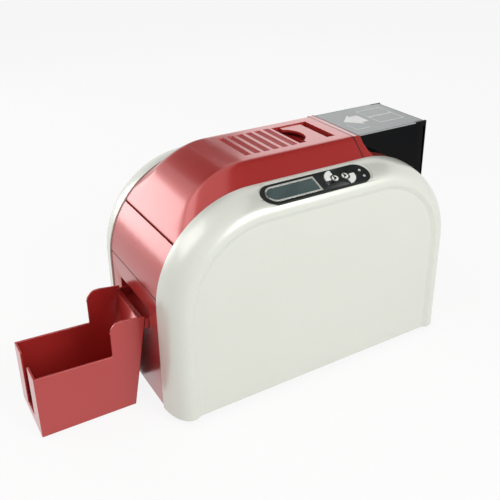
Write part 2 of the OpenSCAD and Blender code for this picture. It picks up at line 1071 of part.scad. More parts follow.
module ring_outline(k, gap) {
  translate([keys_x + 12.9 * k, -17.5])
    circle(r = 3.7 + gap);
}

// Outline of a curved key round one of the two round keys.
module arc_outline(k, gap) {
  translate([keys_x + 12.9 * k, -17.5])
    rotate(k * 180)
      intersection() {
        difference() {
          circle(r = 12 + gap);
          circle(r = 5.6 - gap);
        }
        translate([-14, -1 - gap])
          square([14 + gap, 15 + gap]);
      }
}

module display_frame() {
  color(silver)
    placed()
      on_panel(-0.9)
        translate([display_x, -18.2, 0])
          linear_extrude(height = 2)
            difference() {
              display_outline(0.1);
              display_outline(1.9);
            }
}

module display_window() {
  color([0.36, 0.42, 0.43])
    placed()
      on_panel(-0.9)
        translate([display_x, -18.2, 0])
          linear_extrude(height = 1)
            display_outline(2);
}

// A key cap that slides in its hole in the panel.
module arc_key(k) {
  on_panel(-1.1)
    linear_extrude(height = 1.6 + key_h)
      arc_outline(k, 0);
}

module ring_key(k) {
  on_panel(-1.1)
    linear_extrude(height = 1.6 + key_h)
      ring_outline(k, 0);
}

module left_arc_key() {
  color(white)
    placed()
      arc_key(0);
}

module right_arc_key() {
  color(white)
    placed()
      arc_key(1);
}

module left_ring_key() {
  color(white)
    placed()
      ring_key(0);
}

module right_ring_key() {
  color(white)
    placed()
      ring_key(1);
}

module status_lamps() {
  color(white)
    placed()
      for (k = [0 : 1])
        on_panel(-2)
          translate([lamp_x, -14.6 - 9.3 * k, 0])
            cylinder(r = 1.45, h = 2.8);
}

// Direction of step k along the cover, from the hinge line to its highest line.
function cover_ang(k) = hinge_ang - (hinge_ang - 90) * k / 20;

// Side outline of the crown, drawn in by w and begun some steps in front of the hinge line.
function crown_outline(w, low, past) = concat(
  [at_ang(arch_c, skin_r - low, cover_ang(-past))],
  [for (k = [-past : 0]) at_ang(arch_c, skin_r - w, cover_ang(k))],
  [for (k = [1 : 20]) at_ang(crown_c, crown_r - w, cover_ang(k))],
  [[cover_x2 - w, top_z - w], [cover_x2 - w, seam_z - low]]
);

// Side outline of the cover where it meets the side covers.
function edge_outline(w, low, past) = concat(
  [at_ang(arch_c, skin_r - low, cover_ang(-past))],
  [for (k = [-past : 20]) at_ang(arch_c, skin_r - w, cover_ang(k))],
  [[cover_x2 - w, seam_z - lip - w], [cover_x2 - w, seam_z - low]]
);

module cover_form(w, low, past) {
  hull() {
    side_view(-crown_w / 2 + w / 2, crown_w / 2 - w / 2)
      polygon(crown_outline(w, low, past));
    side_view(-skin_y + w, skin_y - w)
      polygon(edge_outline(w, low, past));
  }
}

module top_cover() {
  louvre_x = latch_x1 - 7.5 - (louvres - 1) * louvre_pitch;
  well = 14;
  color(red)
    placed()
      difference() {
        union() {
          difference() {
            cover_form(0, 18, 0);
            cover_form(wall, 44, 2);
            side_view(-seam_y, seam_y)
              arch_shape(lip + 14, foot_h);
          }
          difference() {
            cross_bar(hinge_p, knuckle_r, -skin_y + 1, skin_y - 1);
            for (y = [-40, 40])
              cross_bar(hinge_p, knuckle_r + 1, y - 2.6, y + 2.6);
          }
          translate([louvre_x - 10, -33, top_z - 5])
            cube([latch_x1 - louvre_x + 8, 66, 3.4]);
          translate([latch_x1 - 1.8, -latch_y - 1.8, latch_floor - 1.8])
            cube([latch_x2 - latch_x1 + 3.6, 2 * latch_y + 3.6, 9]);
          translate([latch_x1 - 1.8, -18, top_z - well - 1.8])
            cube([24, 36, well]);
        }
        for (y = [-40, 40])
          cross_bar(hinge_p, knuckle_r - 0.5, y - 2.5, y + 2.5);
        cross_bar(hinge_p, pin_r + 0.06, -seam_y, seam_y);
        translate([latch_x1, -latch_y, latch_floor])
          cube([latch_x2 - latch_x1, 2 * latch_y, 20]);
        translate([latch_x1 + 2, -15, top_z - well])
          cube([18.4, 30, 20]);
        for (y = [-18, 18])
          translate([latch_x1 + 32.5, y - 3, latch_floor - 5])
            cube([13, 6, 8]);
        translate([cover_x2 - 8, -34, seam_z - 30])
          cube([12, 68, 36]);
        for (k = [0 : louvres - 1])
          translate([louvre_x + k * louvre_pitch, 0, top_z]) {
            side_view(-30.3, 30.3)
              polygon([[-3.4, 0.5], [-3.4, -2.9], [3.6, -0.3], [3.6, 0.5]]);
            translate([-3.4, -30.3, -8])
              cube([1.8, 60.6, 8]);
          }
      }
}

module hinge_pin() {
  color(steel)
    placed()
      cross_bar(hinge_p, pin_r, -skin_y + 3, skin_y - 3);
}

module latch_plate() {
  x1 = latch_x1 + 10.3;
  x2 = latch_x1 + 38.8;
  z1 = top_z - 1.2 - latch_t;
  hook_z = seam_z - 13.6;
  color(red)
    placed()
      union() {
        translate([0, 0, z1])
          linear_extrude(height = latch_t)
            difference() {
              translate([x1, -latch_y + 0.5])
                square([x2 - x1, 2 * latch_y - 1]);
              translate([latch_x1 - 2.7, 0])
                circle(r = 25);
            }
        for (y = [-18, 18])
          translate([latch_x1 + 34.3, y - 2, hook_z])
            cube([4, 4, z1 - hook_z + 0.5]);
        for (y = [-18, 18])
          translate([latch_x1 + 30.3, y - 2, hook_z])
            cube([4.2, 4, 3.2]);
        for (y = [-26, 24])
          translate([latch_x1 + 28, y, latch_floor + 0.3])
            cube([10, 2, z1 - latch_floor]);
      }
}

module cassette_body() {
  x1 = cass_x1;
  x2 = cass_x2;
  half = cass_w / 2;
  floor_z = card_z - 2.5;
  guide_y = card_w / 2 + 1.5;
  wall_z = lid_top - lid_t - 0.2;
  back_x = x1 + cass_wall + card_l + 2;
  color(black)
    placed()
      difference() {
        union() {
          difference() {
            translate([x1, -half, floor_z])
              cube([x2 - x1, cass_w, wall_z - floor_z]);
            translate([x1 + cass_wall, -half + cass_wall, floor_z + 2])
              cube([x2 - x1 - 2 * cass_wall, cass_w - 2 * cass_wall, wall_z]);
          }
          for (side = [-1, 1])
            translate([x1 + 1, side > 0 ? guide_y : -guide_y - 1.6, floor_z + 1])
              cube([x2 - x1 - 2, 1.6, wall_z - floor_z - 16]);
          translate([back_x, -guide_y - 1, floor_z + 1])
            cube([1.6, 2 * guide_y + 2, wall_z - floor_z - 30]);
          for (side = [-1, 1])
            translate([x2 - 16, side > 0 ? half - cass_wall : -half, wall_z - 10])
              cube([16, cass_wall, lid_top - wall_z + 10]);
        }
        translate([x2 - 10, -half + cass_wall, lid_pivot[1] - 4.8])
          cube([20, cass_w - 2 * cass_wall, 20]);
        cross_bar(lid_pivot, 1.5 + 0.02, -half - 1, half + 1);
        translate([x1 - 1, -roller_y + 3, floor_z - 1])
          cube([pick_x + pick_r + 2 - x1, 2 * roller_y - 6, 4]);
        translate([x1 - 1, -card_w / 2 - 0.8, floor_z + 2])
          cube([cass_wall + 2, card_w + 1.6, 1.5]);
        translate([x1 - 1, -10, floor_z + 30])
          cube([cass_wall + 2, 20, 90]);
      }
}

module cassette_lid() {
  half = cass_w / 2;
  color(grey)
    placed()
      difference() {
        union() {
          translate([cass_x1, -half, lid_top - lid_t])
            cube([cass_l - 16.4, cass_w, lid_t]);
          translate([cass_x1 + 4, -half + cass_wall + 0.4, lid_top - lid_t])
            cube([lid_pivot[0] - cass_x1 - 4, cass_w - 2 * cass_wall - 0.8, lid_t]);
          cross_bar(lid_pivot, 4.1, -half + cass_wall + 0.4, half - cass_wall - 0.4);
          translate([cass_x1 + 3, -10, lid_top - lid_t - 4])
            cube([2, 20, 4.5]);
        }
        cross_bar(lid_pivot, 1.5 + 0.06, -half, half);
      }
}

module lid_pin() {
  color(steel)
    placed()
      cross_bar(lid_pivot, 1.5, -cass_w / 2 + 0.3, cass_w / 2 - 0.3);
}

// A thin drawn line round a rectangle.
module frame_line(x, y, l, w, t) {
  translate([x, y])
    difference() {
      square([l, w]);
      translate([t, t])
        square([l - 2 * t, w - 2 * t]);
    }
}

// Loading marks: an arrow towards the printer and two card outlines.
module lid_marks() {
  x = cass_x1;
  t = 0.6;
  color(white)
    placed()
      translate([0, -64, lid_top])
        linear_extrude(height = 0.2)
          union() {
            polygon([
              [x + 15.1, 67.3], [x + 33, 85.2], [x + 33, 79.3], [x + 43.5, 79.3],
              [x + 43.5, 56], [x + 33, 56], [x + 33, 49.8]
            ]);
            frame_line(x + 51.9, 67.5, 36, 23.8, t);
            frame_line(x + 51.4, 44, 36, 22.2, t);
            translate([x + 10.6, 37])
              square([t, 19]);
            translate([x + 10.6, 37])
              square([19.4, t]);
          }
}

module card_weight() {
  x1 = cass_x1 + cass_wall + 1;
  z = card_z + 1.8;
  color([0.3, 0.31, 0.33])
    placed()
      union() {
        translate([x1 - 0.5, -card_w / 2 - 1, z])
          cube([card_l + 1, card_w + 2, 3]);
        translate([x1 + 8, -6, z + 2.9])
          cube([6, 12, 14]);
        translate([x1 + 20, -20, z + 2.9])
          cube([50, 40, 4]);
      }
}

// Side outline of the hopper, drawn in by an even amount below its rim.
module hopper_side() {
  corner = 12;
  union() {
    polygon([
      [-hopper_l, foot_h - 4], [-20.5, foot_h - 5.5], [-2, foot_h + 100.5],
      [-26, foot_h + 104], [-41, foot_h + 93], [-41, foot_h + 64.5], [-hopper_l, foot_h + 68.5]
    ]);
    translate([-41 + corner, foot_h + 104 - corner])
      circle(r = corner);
  }
}

module output_hopper() {
  half = hopper_w / 2;
  t = hopper_t;
  color(red)
    placed()
      difference() {
        union() {
          difference() {
            side_view(-half, half)
              hopper_side();
            side_view(-half + t, half - t)
              polygon([
                [-hopper_l + t, foot_h - 4 + t], [-20.5 - t, foot_h - 5.5 + t],
                [-2 - t - 0.2, foot_h + 100], [-2 - t, foot_h + 120], [-hopper_l + t, foot_h + 120]
              ]);
            side_view(-half + t, half - t)
              polygon([[-30, foot_h + 92], [2, foot_h + 92], [2, foot_h + 120], [-30, foot_h + 120]]);
          }
          for (side = [-1, 1])
            translate([-6, side > 0 ? half - t - 0.2 : -half + 0.2, window_z1 + 0.6])
              cube([15, t, 12]);
          translate([-6.2, -half + 0.2, window_z1 + 0.6])
            cube([15.2, 2 * half - 0.4, 1.6]);
        }
        translate([-hopper_l - 1, -finger_w / 2, foot_h + 6])
          cube([t + 2, finger_w, 100]);
      }
}

module case_screws() {
  color(steel)
    placed()
      for (x = [60, body_l - 60])
        for (y = [-53, 53])
          translate([x, y, foot_h])
            difference() {
              union() {
                cylinder(r = 3, h = 1);
                cylinder(r = 1.5, h = 4);
              }
              translate([-0.4, -2, -1])
                cube([0.8, 4, 1.5]);
            }
}

near_side_cover();
far_side_cover();
lower_front_panel();
middle_front_panel();
rear_casing();
base_tray();
rubber_feet();
near_chassis_plate();
far_chassis_plate();
chassis_tie_bars();
card_rails();
ribbon_guide_bars();
drive_motor();
motor_gear();
drive_belt();
pick_belt();
platen_shaft();
platen_tyre();
feed_shaft();
feed_tyre();
exit_shaft();
exit_tyre();
pick_shaft();
pick_tyre();
feed_pinch_roller();
exit_pinch_roller();
cleaning_roller();
print_head_arm();
print_head();
supply_spool();
supply_roll();
take_up_spool();
take_up_roll();
ribbon_film();
mainboard();
board_parts();
usb_port();
power_inlet();
switch_frame();
power_rocker();
panel_bezel();
display_frame();
display_window();
left_arc_key();
right_arc_key();
left_ring_key();
right_ring_key();
status_lamps();
top_cover();
hinge_pin();
latch_plate();
cassette_body();
cassette_lid();
lid_pin();
lid_marks();
card_weight();
output_hopper();
case_screws();
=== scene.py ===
"""Looks of a desktop id card printer: two pale side covers, a dark red body and a smoked card cassette."""

import json
import logging
import math
from dataclasses import dataclass
from enum import Enum

import bmesh
import bpy
import numpy as np
from mathutils import Matrix, Vector


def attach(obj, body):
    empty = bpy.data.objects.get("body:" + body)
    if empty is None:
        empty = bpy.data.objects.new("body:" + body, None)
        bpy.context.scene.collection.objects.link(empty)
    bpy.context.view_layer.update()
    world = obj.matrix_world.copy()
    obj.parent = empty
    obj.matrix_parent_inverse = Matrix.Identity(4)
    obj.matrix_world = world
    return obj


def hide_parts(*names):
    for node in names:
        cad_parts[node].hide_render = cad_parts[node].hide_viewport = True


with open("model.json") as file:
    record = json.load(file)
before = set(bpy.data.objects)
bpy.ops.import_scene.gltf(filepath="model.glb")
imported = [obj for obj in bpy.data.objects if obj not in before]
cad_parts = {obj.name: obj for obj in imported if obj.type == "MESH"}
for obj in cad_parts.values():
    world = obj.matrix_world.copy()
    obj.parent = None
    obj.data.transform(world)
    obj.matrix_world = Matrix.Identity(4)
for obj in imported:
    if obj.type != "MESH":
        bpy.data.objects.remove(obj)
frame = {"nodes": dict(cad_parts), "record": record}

LOG = logging.getLogger("card_printer")
MM = 0.001
# Distance in mm from the side covers' front end to the middle of the shared frame.
MID_X = 122.3
# Corners of the CAD mesh that lie closer than this, in mm, are one corner.
MERGE_MM = 0.002
# Two triangles that meet at less than this, in degrees, lie in one flat.
FLAT_DEG = 0.5
# An edge sharper than this, in degrees, is a real edge and is rounded.
EDGE_DEG = 32.0
# The control panel's slope toward the near side, and the direction that its face looks in.
PANEL_TILT = math.radians(21.0)
PANEL_OUTWARD = (0.0, -math.sin(PANEL_TILT), math.cos(PANEL_TILT))
UPWARD = (0.0, 0.0, 1.0)
ALONG_BODY = (1.0, 0.0, 0.0)
TO_HOPPER = (-1.0, 0.0, 0.0)
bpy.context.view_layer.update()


def linear(hex_colour: str) -> tuple[float, float, float, float]:
    """Turn an sRGB colour to linear light.

    A channel up to 0.04045 is divided by 12.92. Above that it is ((c + 0.055) / 1.055) to the power 2.4.

    Args:
        hex_colour: The colour as "#RRGGBB".

    Returns:
        Red, green, blue and an alpha of 1, in linear light.
    """
    channels = np.array([int(hex_colour[i : i + 2], 16) for i in (1, 3, 5)]) / 255
    low = channels / 12.92
    high = ((channels + 0.055) / 1.055) ** 2.4
    red, green, blue = np.where(channels <= 0.04045, low, high)
    return float(red), float(green), float(blue), 1.0


def per_metre(size_mm: float) -> float:
    """Return the texture scale whose pattern repeats about every size_mm."""
    return 1.0 / (size_mm * MM)


def node(tree: bpy.types.NodeTree, kind: str, inputs: dict | None = None, **settings) -> bpy.types.Node:
    """Add one shader node with its settings, and fill or link its inputs.

    Args:
        tree: The node tree that gets the node.
        kind: Blender's name of the node type.
        inputs: Socket name or index to a number, a colour or another node's output socket.
        settings: Properties of the node itself.

    Returns:
        The new node.
    """
    made = tree.nodes.new(kind)
    for name, value in settings.items():
        setattr(made, name, value)
    for name, value in (inputs or {}).items():
        if isinstance(value, bpy.types.NodeSocket):
            tree.links.new(value, made.inputs[name])
        else:
            made.inputs[name].default_value = value
    return made


class Slot(Enum):
    """The record's material slots."""

    SILVER_PAINT = "silver_paint"
    RED_PAINT = "red_paint"
    SMOKED_PLASTIC = "smoked_plastic"
    BLACK_PLASTIC = "black_plastic"
    GREY_PLASTIC = "grey_plastic"
    WHITE_PLASTIC = "white_plastic"
    WHITE_PRINT = "white_print"
    PANEL_BLACK = "panel_black"
    DISPLAY_GLASS = "display_glass"
    DISPLAY_TRIM = "display_trim"
    STEEL = "steel"
    ZINC_SHEET = "zinc_sheet"
    ALUMINIUM = "aluminium"
    BRASS = "brass"
    ROLLER_RUBBER = "roller_rubber"
    FOOT_RUBBER = "foot_rubber"
    BELT_RUBBER = "belt_rubber"
    BLUE_RUBBER = "blue_rubber"
    RIBBON = "ribbon"
    BOARD_GREEN = "board_green"
    LAMP_LENS = "lamp_lens"


@dataclass(frozen=True)
class Finish:
    """What every finish has: the material's name, its colour and its gloss."""

    name: str
    colour: str
    shade: str
    roughness: float
    spread: float = 0.06

    def material(self) -> bpy.types.Material:
        """Return the material, made the first time it is asked for."""
        made = bpy.data.materials.get(self.name)
        if made is not None:
            return made
        made = bpy.data.materials.new(self.name)
        made.use_nodes = True
        made.diffuse_color = linear(self.colour)
        tree = made.node_tree
        tree.nodes.clear()
        place = node(tree, "ShaderNodeTexCoord").outputs["Object"]
        shader = node(tree, "ShaderNodeBsdfPrincipled")
        self.pattern(tree, place, shader)
        node(tree, "ShaderNodeOutputMaterial", {"Surface": shader.outputs["BSDF"]})
        return made

    def pattern(self, tree: bpy.types.NodeTree, place: bpy.types.NodeSocket, shader: bpy.types.Node) -> None:
        """Give the shader its colour, gloss and relief.

        Args:
            tree: The material's node tree.
            place: Object coordinates, in metres.
            shader: The principled shader.
        """
        raise NotImplementedError

    def tinted(self, tree: bpy.types.NodeTree, shader: bpy.types.Node, amount: bpy.types.NodeSocket) -> None:
        """Colour the shader between colour, at 0, and shade, at 1.

        Args:
            tree: The material's node tree.
            shader: The principled shader.
            amount: Share of the shade, from 0 to 1.
        """
        mix = node(
            tree,
            "ShaderNodeMix",
            {"Factor": amount, "A": linear(self.colour), "B": linear(self.shade)},
            data_type="RGBA",
        )
        tree.links.new(mix.outputs["Result"], shader.inputs["Base Color"])

    def glossed(self, tree: bpy.types.NodeTree, shader: bpy.types.Node, amount: bpy.types.NodeSocket) -> None:
        """Vary the roughness by spread either side of its value.

        Args:
            tree: The material's node tree.
            shader: The principled shader.
            amount: 0.3 or less for the glossiest, 0.7 or more for the dullest.
        """
        level = node(
            tree,
            "ShaderNodeMapRange",
            {
                "Value": amount,
                "From Min": 0.3,
                "From Max": 0.7,
                "To Min": max(0.02, self.roughness - self.spread),
                "To Max": self.roughness + self.spread,
            },
        )
        tree.links.new(level.outputs["Result"], shader.inputs["Roughness"])

    def embossed(
        self, tree: bpy.types.NodeTree, shader: bpy.types.Node, height: bpy.types.NodeSocket, depth_mm: float
    ) -> None:
        """Raise the surface by depth_mm where height is 1.

        Args:
            tree: The material's node tree.
            shader: The principled shader.
            height: The relief, from 0 to 1.
            depth_mm: The relief's depth in mm.
        """
        relief = node(tree, "ShaderNodeBump", {"Height": height, "Distance": depth_mm * MM, "Strength": 1.0})
        tree.links.new(relief.outputs["Normal"], shader.inputs["Normal"])


@dataclass(frozen=True)
class SprayedPaint(Finish):
    """Metallic car-type paint sprayed on ABS: flakes under a clear coat with a faint orange peel.

    The flakes of the real paint are 0.05 mm, too fine to show, so they are drawn as coarse as flake_mm.
    """

    metallic: float = 0.3
    flake_mm: float = 0.7
    flake_share: float = 0.2
    peel_mm: float = 2.4
    peel_depth_mm: float = 0.004
    drift_mm: float = 90.0
    coat: float = 0.5
    coat_roughness: float = 0.12

    def pattern(self, tree: bpy.types.NodeTree, place: bpy.types.NodeSocket, shader: bpy.types.Node) -> None:
        """Mix flakes and a slow drift of the spray into the colour, and give the coat its peel."""
        shader.inputs["Metallic"].default_value = self.metallic
        shader.inputs["IOR"].default_value = 1.5
        shader.inputs["Coat Weight"].default_value = self.coat
        shader.inputs["Coat Roughness"].default_value = self.coat_roughness
        flakes = node(tree, "ShaderNodeTexVoronoi", {"Vector": place, "Scale": per_metre(self.flake_mm)})
        drift = node(
            tree,
            "ShaderNodeTexNoise",
            {"Vector": place, "Scale": per_metre(self.drift_mm), "Detail": 2.0},
        )
        share = node(
            tree,
            "ShaderNodeMapRange",
            {"Value": flakes.outputs["Color"], "To Min": 0.0, "To Max": self.flake_share},
        )
        amount = node(
            tree,
            "ShaderNodeMath",
            {0: drift.outputs["Fac"], 1: 0.25, 2: share.outputs["Result"]},
            operation="MULTIPLY_ADD",
            use_clamp=True,
        )
        self.tinted(tree, shader, amount.outputs["Value"])
        self.glossed(tree, shader, flakes.outputs["Color"])
        peel = node(
            tree,
            "ShaderNodeTexNoise",
            {"Vector": place, "Scale": per_metre(self.peel_mm), "Detail": 1.5},
        )
        self.embossed(tree, shader, peel.outputs["Fac"], self.peel_depth_mm)


@dataclass(frozen=True)
class MouldedPlastic(Finish):
    """Injection moulded ABS from a spark-eroded mould: an even satin grain, with slow flow marks."""

    ior: float = 1.53
    grain_mm: float = 0.6
    grain_depth_mm: float = 0.02
    flow_mm: float = 45.0

    def pattern(self, tree: bpy.types.NodeTree, place: bpy.types.NodeSocket, shader: bpy.types.Node) -> None:
        """Mix the flow marks and the grain into the colour and gloss, and raise the grain."""
        shader.inputs["IOR"].default_value = self.ior
        flow = node(
            tree,
            "ShaderNodeTexNoise",
            {"Vector": place, "Scale": per_metre(self.flow_mm), "Detail": 3.0, "Distortion": 0.4},
        )
        grain = node(
            tree,
            "ShaderNodeTexNoise",
            {"Vector": place, "Scale": per_metre(self.grain_mm), "Detail": 3.0},
        )
        both = node(
            tree,
            "ShaderNodeMath",
            {0: grain.outputs["Fac"], 1: 0.5, 2: flow.outputs["Fac"]},
            operation="MULTIPLY_ADD",
        )
        amount = node(
            tree,
            "ShaderNodeMapRange",
            {"Value": both.outputs["Value"], "From Min": 0.45, "From Max": 1.05},
        )
        self.tinted(tree, shader, amount.outputs["Result"])
        self.glossed(tree, shader, flow.outputs["Fac"])
        self.embossed(tree, shader, grain.outputs["Fac"], self.grain_depth_mm)


@dataclass(frozen=True)
class PolishedPlastic(Finish):
    """Polycarbonate from a polished mould: a deep gloss with wiping smears, scratches and a little dust."""

    ior: float = 1.58
    mirror: float = 0.5
    smear_mm: float = 26.0
    scratch_mm: float = 0.9
    scratch_depth_mm: float = 0.0015
    dust_mm: float = 1.6
    dust_share: float = 0.35

    def pattern(self, tree: bpy.types.NodeTree, place: bpy.types.NodeSocket, shader: bpy.types.Node) -> None:
        """Lay smears and scratches in the gloss, and specks of dust in the colour."""
        shader.inputs["IOR"].default_value = self.ior
        shader.inputs["Specular IOR Level"].default_value = self.mirror
        smear = node(
            tree,
            "ShaderNodeTexNoise",
            {"Vector": place, "Scale": per_metre(self.smear_mm), "Detail": 4.0, "Distortion": 1.2},
        )
        drawn = node(
            tree,
            "ShaderNodeMapping",
            {"Vector": place, "Scale": (0.06, 1.0, 1.0), "Rotation": (0.2, 0.1, 0.5)},
        )
        scratch = node(
            tree,
            "ShaderNodeTexNoise",
            {"Vector": drawn.outputs["Vector"], "Scale": per_metre(self.scratch_mm), "Detail": 2.0},
        )
        speck = node(tree, "ShaderNodeTexVoronoi", {"Vector": place, "Scale": per_metre(self.dust_mm)})
        dust = node(
            tree,
            "ShaderNodeMapRange",
            {
                "Value": speck.outputs["Distance"],
                "From Min": 0.05,
                "From Max": 0.12,
                "To Min": self.dust_share,
                "To Max": 0.0,
            },
        )
        self.tinted(tree, shader, dust.outputs["Result"])
        self.glossed(tree, shader, smear.outputs["Fac"])
        self.embossed(tree, shader, scratch.outputs["Fac"], self.scratch_depth_mm)


@dataclass(frozen=True)
class WorkedMetal(Finish):
    """Bare metal with the lines of its working: turned, rolled, brushed or extruded along one direction."""

    stretch: tuple[float, float, float] = (1.0, 0.04, 1.0)
    line_mm: float = 0.5
    line_depth_mm: float = 0.004
    spangle_mm: float = 9.0

    def pattern(self, tree: bpy.types.NodeTree, place: bpy.types.NodeSocket, shader: bpy.types.Node) -> None:
        """Draw the working lines in relief and gloss, and the crystal spangle in the colour."""
        shader.inputs["Metallic"].default_value = 1.0
        drawn = node(tree, "ShaderNodeMapping", {"Vector": place, "Scale": self.stretch})
        lines = node(
            tree,
            "ShaderNodeTexNoise",
            {"Vector": drawn.outputs["Vector"], "Scale": per_metre(self.line_mm), "Detail": 3.0},
        )
        spangle = node(tree, "ShaderNodeTexVoronoi", {"Vector": place, "Scale": per_metre(self.spangle_mm)})
        amount = node(
            tree,
            "ShaderNodeMath",
            {0: lines.outputs["Fac"], 1: spangle.outputs["Color"]},
            operation="MULTIPLY",
        )
        self.tinted(tree, shader, amount.outputs["Value"])
        self.glossed(tree, shader, lines.outputs["Fac"])
        self.embossed(tree, shader, lines.outputs["Fac"], self.line_depth_mm)


@dataclass(frozen=True)
class CastRubber(Finish):
    """Moulded or ground rubber: matt and dark, with a fine tooth and paler worn dust."""

    tooth_mm: float = 0.5
    tooth_depth_mm: float = 0.03
    dust_mm: float = 7.0

    def pattern(self, tree: bpy.types.NodeTree, place: bpy.types.NodeSocket, shader: bpy.types.Node) -> None:
        """Dust the colour in patches, and raise the tooth."""
        shader.inputs["IOR"].default_value = 1.52
        dust = node(
            tree,
            "ShaderNodeTexNoise",
            {"Vector": place, "Scale": per_metre(self.dust_mm), "Detail": 5.0},
        )
        tooth = node(
            tree,
            "ShaderNodeTexNoise",
            {"Vector": place, "Scale": per_metre(self.tooth_mm), "Detail": 2.0},
        )
        worn = node(
            tree,
            "ShaderNodeMapRange",
            {"Value": dust.outputs["Fac"], "From Min": 0.45, "From Max": 0.75},
        )
        self.tinted(tree, shader, worn.outputs["Result"])
        self.glossed(tree, shader, dust.outputs["Fac"])
        self.embossed(tree, shader, tooth.outputs["Fac"], self.tooth_depth_mm)


@dataclass(frozen=True)
class SolderMask(Finish):
    """Glass fibre board under green solder mask: copper tracks show through as lighter green lines."""

    track_mm: float = 5.0
    track_depth_mm: float = 0.03
    weave_mm: float = 0.8

    def pattern(self, tree: bpy.types.NodeTree, place: bpy.types.NodeSocket, shader: bpy.types.Node) -> None:
        """Draw a net of angular tracks in the colour and relief."""
        shader.inputs["IOR"].default_value = 1.55
        cells = node(
            tree,
            "ShaderNodeTexVoronoi",
            {"Vector": place, "Scale": per_metre(self.track_mm), "Randomness": 0.85},
            feature="DISTANCE_TO_EDGE",
        )
        track = node(
            tree,
            "ShaderNodeMapRange",
            {
                "Value": cells.outputs["Distance"],
                "From Min": 0.03,
                "From Max": 0.07,
                "To Min": 1.0,
                "To Max": 0.0,
            },
        )
        weave = node(
            tree,
            "ShaderNodeTexNoise",
            {"Vector": place, "Scale": per_metre(self.weave_mm), "Detail": 2.0},
        )
        self.tinted(tree, shader, track.outputs["Result"])
        self.glossed(tree, shader, weave.outputs["Fac"])
        self.embossed(tree, shader, track.outputs["Result"], self.track_depth_mm)


@dataclass(frozen=True)
class DyeFilm(Finish):
    """Polyester ribbon coated with panels of dye, each panel_mm long, one after the other."""

    panel_mm: float = 60.0
    crinkle_mm: float = 5.0
    crinkle_depth_mm: float = 0.02
    dyes: tuple[str, str, str, str] = ("#8F8414", "#7C1E52", "#175C7E", "#15151A")

    def pattern(self, tree: bpy.types.NodeTree, place: bpy.types.NodeSocket, shader: bpy.types.Node) -> None:
        """Colour the film by the four dyes in turn along its way, with a faint crinkle."""
        shader.inputs["IOR"].default_value = 1.6
        along = node(tree, "ShaderNodeSeparateXYZ", {"Vector": place})
        turn = node(
            tree,
            "ShaderNodeMath",
            {0: along.outputs["X"], 1: per_metre(self.panel_mm * len(self.dyes))},
            operation="MULTIPLY",
        )
        share = node(tree, "ShaderNodeMath", {0: turn.outputs["Value"]}, operation="FRACT")
        ramp = node(tree, "ShaderNodeValToRGB", {"Fac": share.outputs["Value"]})
        ramp.color_ramp.interpolation = "CONSTANT"
        for number, dye in enumerate(self.dyes):
            step = number / len(self.dyes)
            stop = ramp.color_ramp.elements[0] if number == 0 else ramp.color_ramp.elements.new(step)
            stop.position = step
            stop.color = linear(dye)
        crinkle = node(
            tree,
            "ShaderNodeTexNoise",
            {"Vector": place, "Scale": per_metre(self.crinkle_mm), "Detail": 3.0},
        )
        faded = node(
            tree,
            "ShaderNodeMix",
            {"Factor": crinkle.outputs["Fac"], "A": ramp.outputs["Color"], "B": linear(self.shade)},
            data_type="RGBA",
        )
        tree.links.new(faded.outputs["Result"], shader.inputs["Base Color"])
        self.glossed(tree, shader, crinkle.outputs["Fac"])
        self.embossed(tree, shader, crinkle.outputs["Fac"], self.crinkle_depth_mm)


@dataclass(frozen=True)
class DisplayGlass(Finish):
    """Glass over a liquid crystal panel: glossy, grey-green, with the faint grid of the unlit dots."""

    dot_mm: float = 0.62
    sheen_mm: float = 24.0
    mirror: float = 0.25

    def pattern(self, tree: bpy.types.NodeTree, place: bpy.types.NodeSocket, shader: bpy.types.Node) -> None:
        """Draw the dots' grid, with a slow random shift of the colour and gloss."""
        shader.inputs["IOR"].default_value = 1.52
        shader.inputs["Specular IOR Level"].default_value = self.mirror
        dots = node(tree, "ShaderNodeTexChecker", {"Vector": place, "Scale": per_metre(self.dot_mm)})
        sheen = node(
            tree,
            "ShaderNodeTexNoise",
            {"Vector": place, "Scale": per_metre(self.sheen_mm), "Detail": 1.0},
        )
        amount = node(
            tree,
            "ShaderNodeMath",
            {0: dots.outputs["Fac"], 1: 0.15, 2: sheen.outputs["Fac"]},
            operation="MULTIPLY_ADD",
            use_clamp=True,
        )
        self.tinted(tree, shader, amount.outputs["Value"])
        self.glossed(tree, shader, sheen.outputs["Fac"])


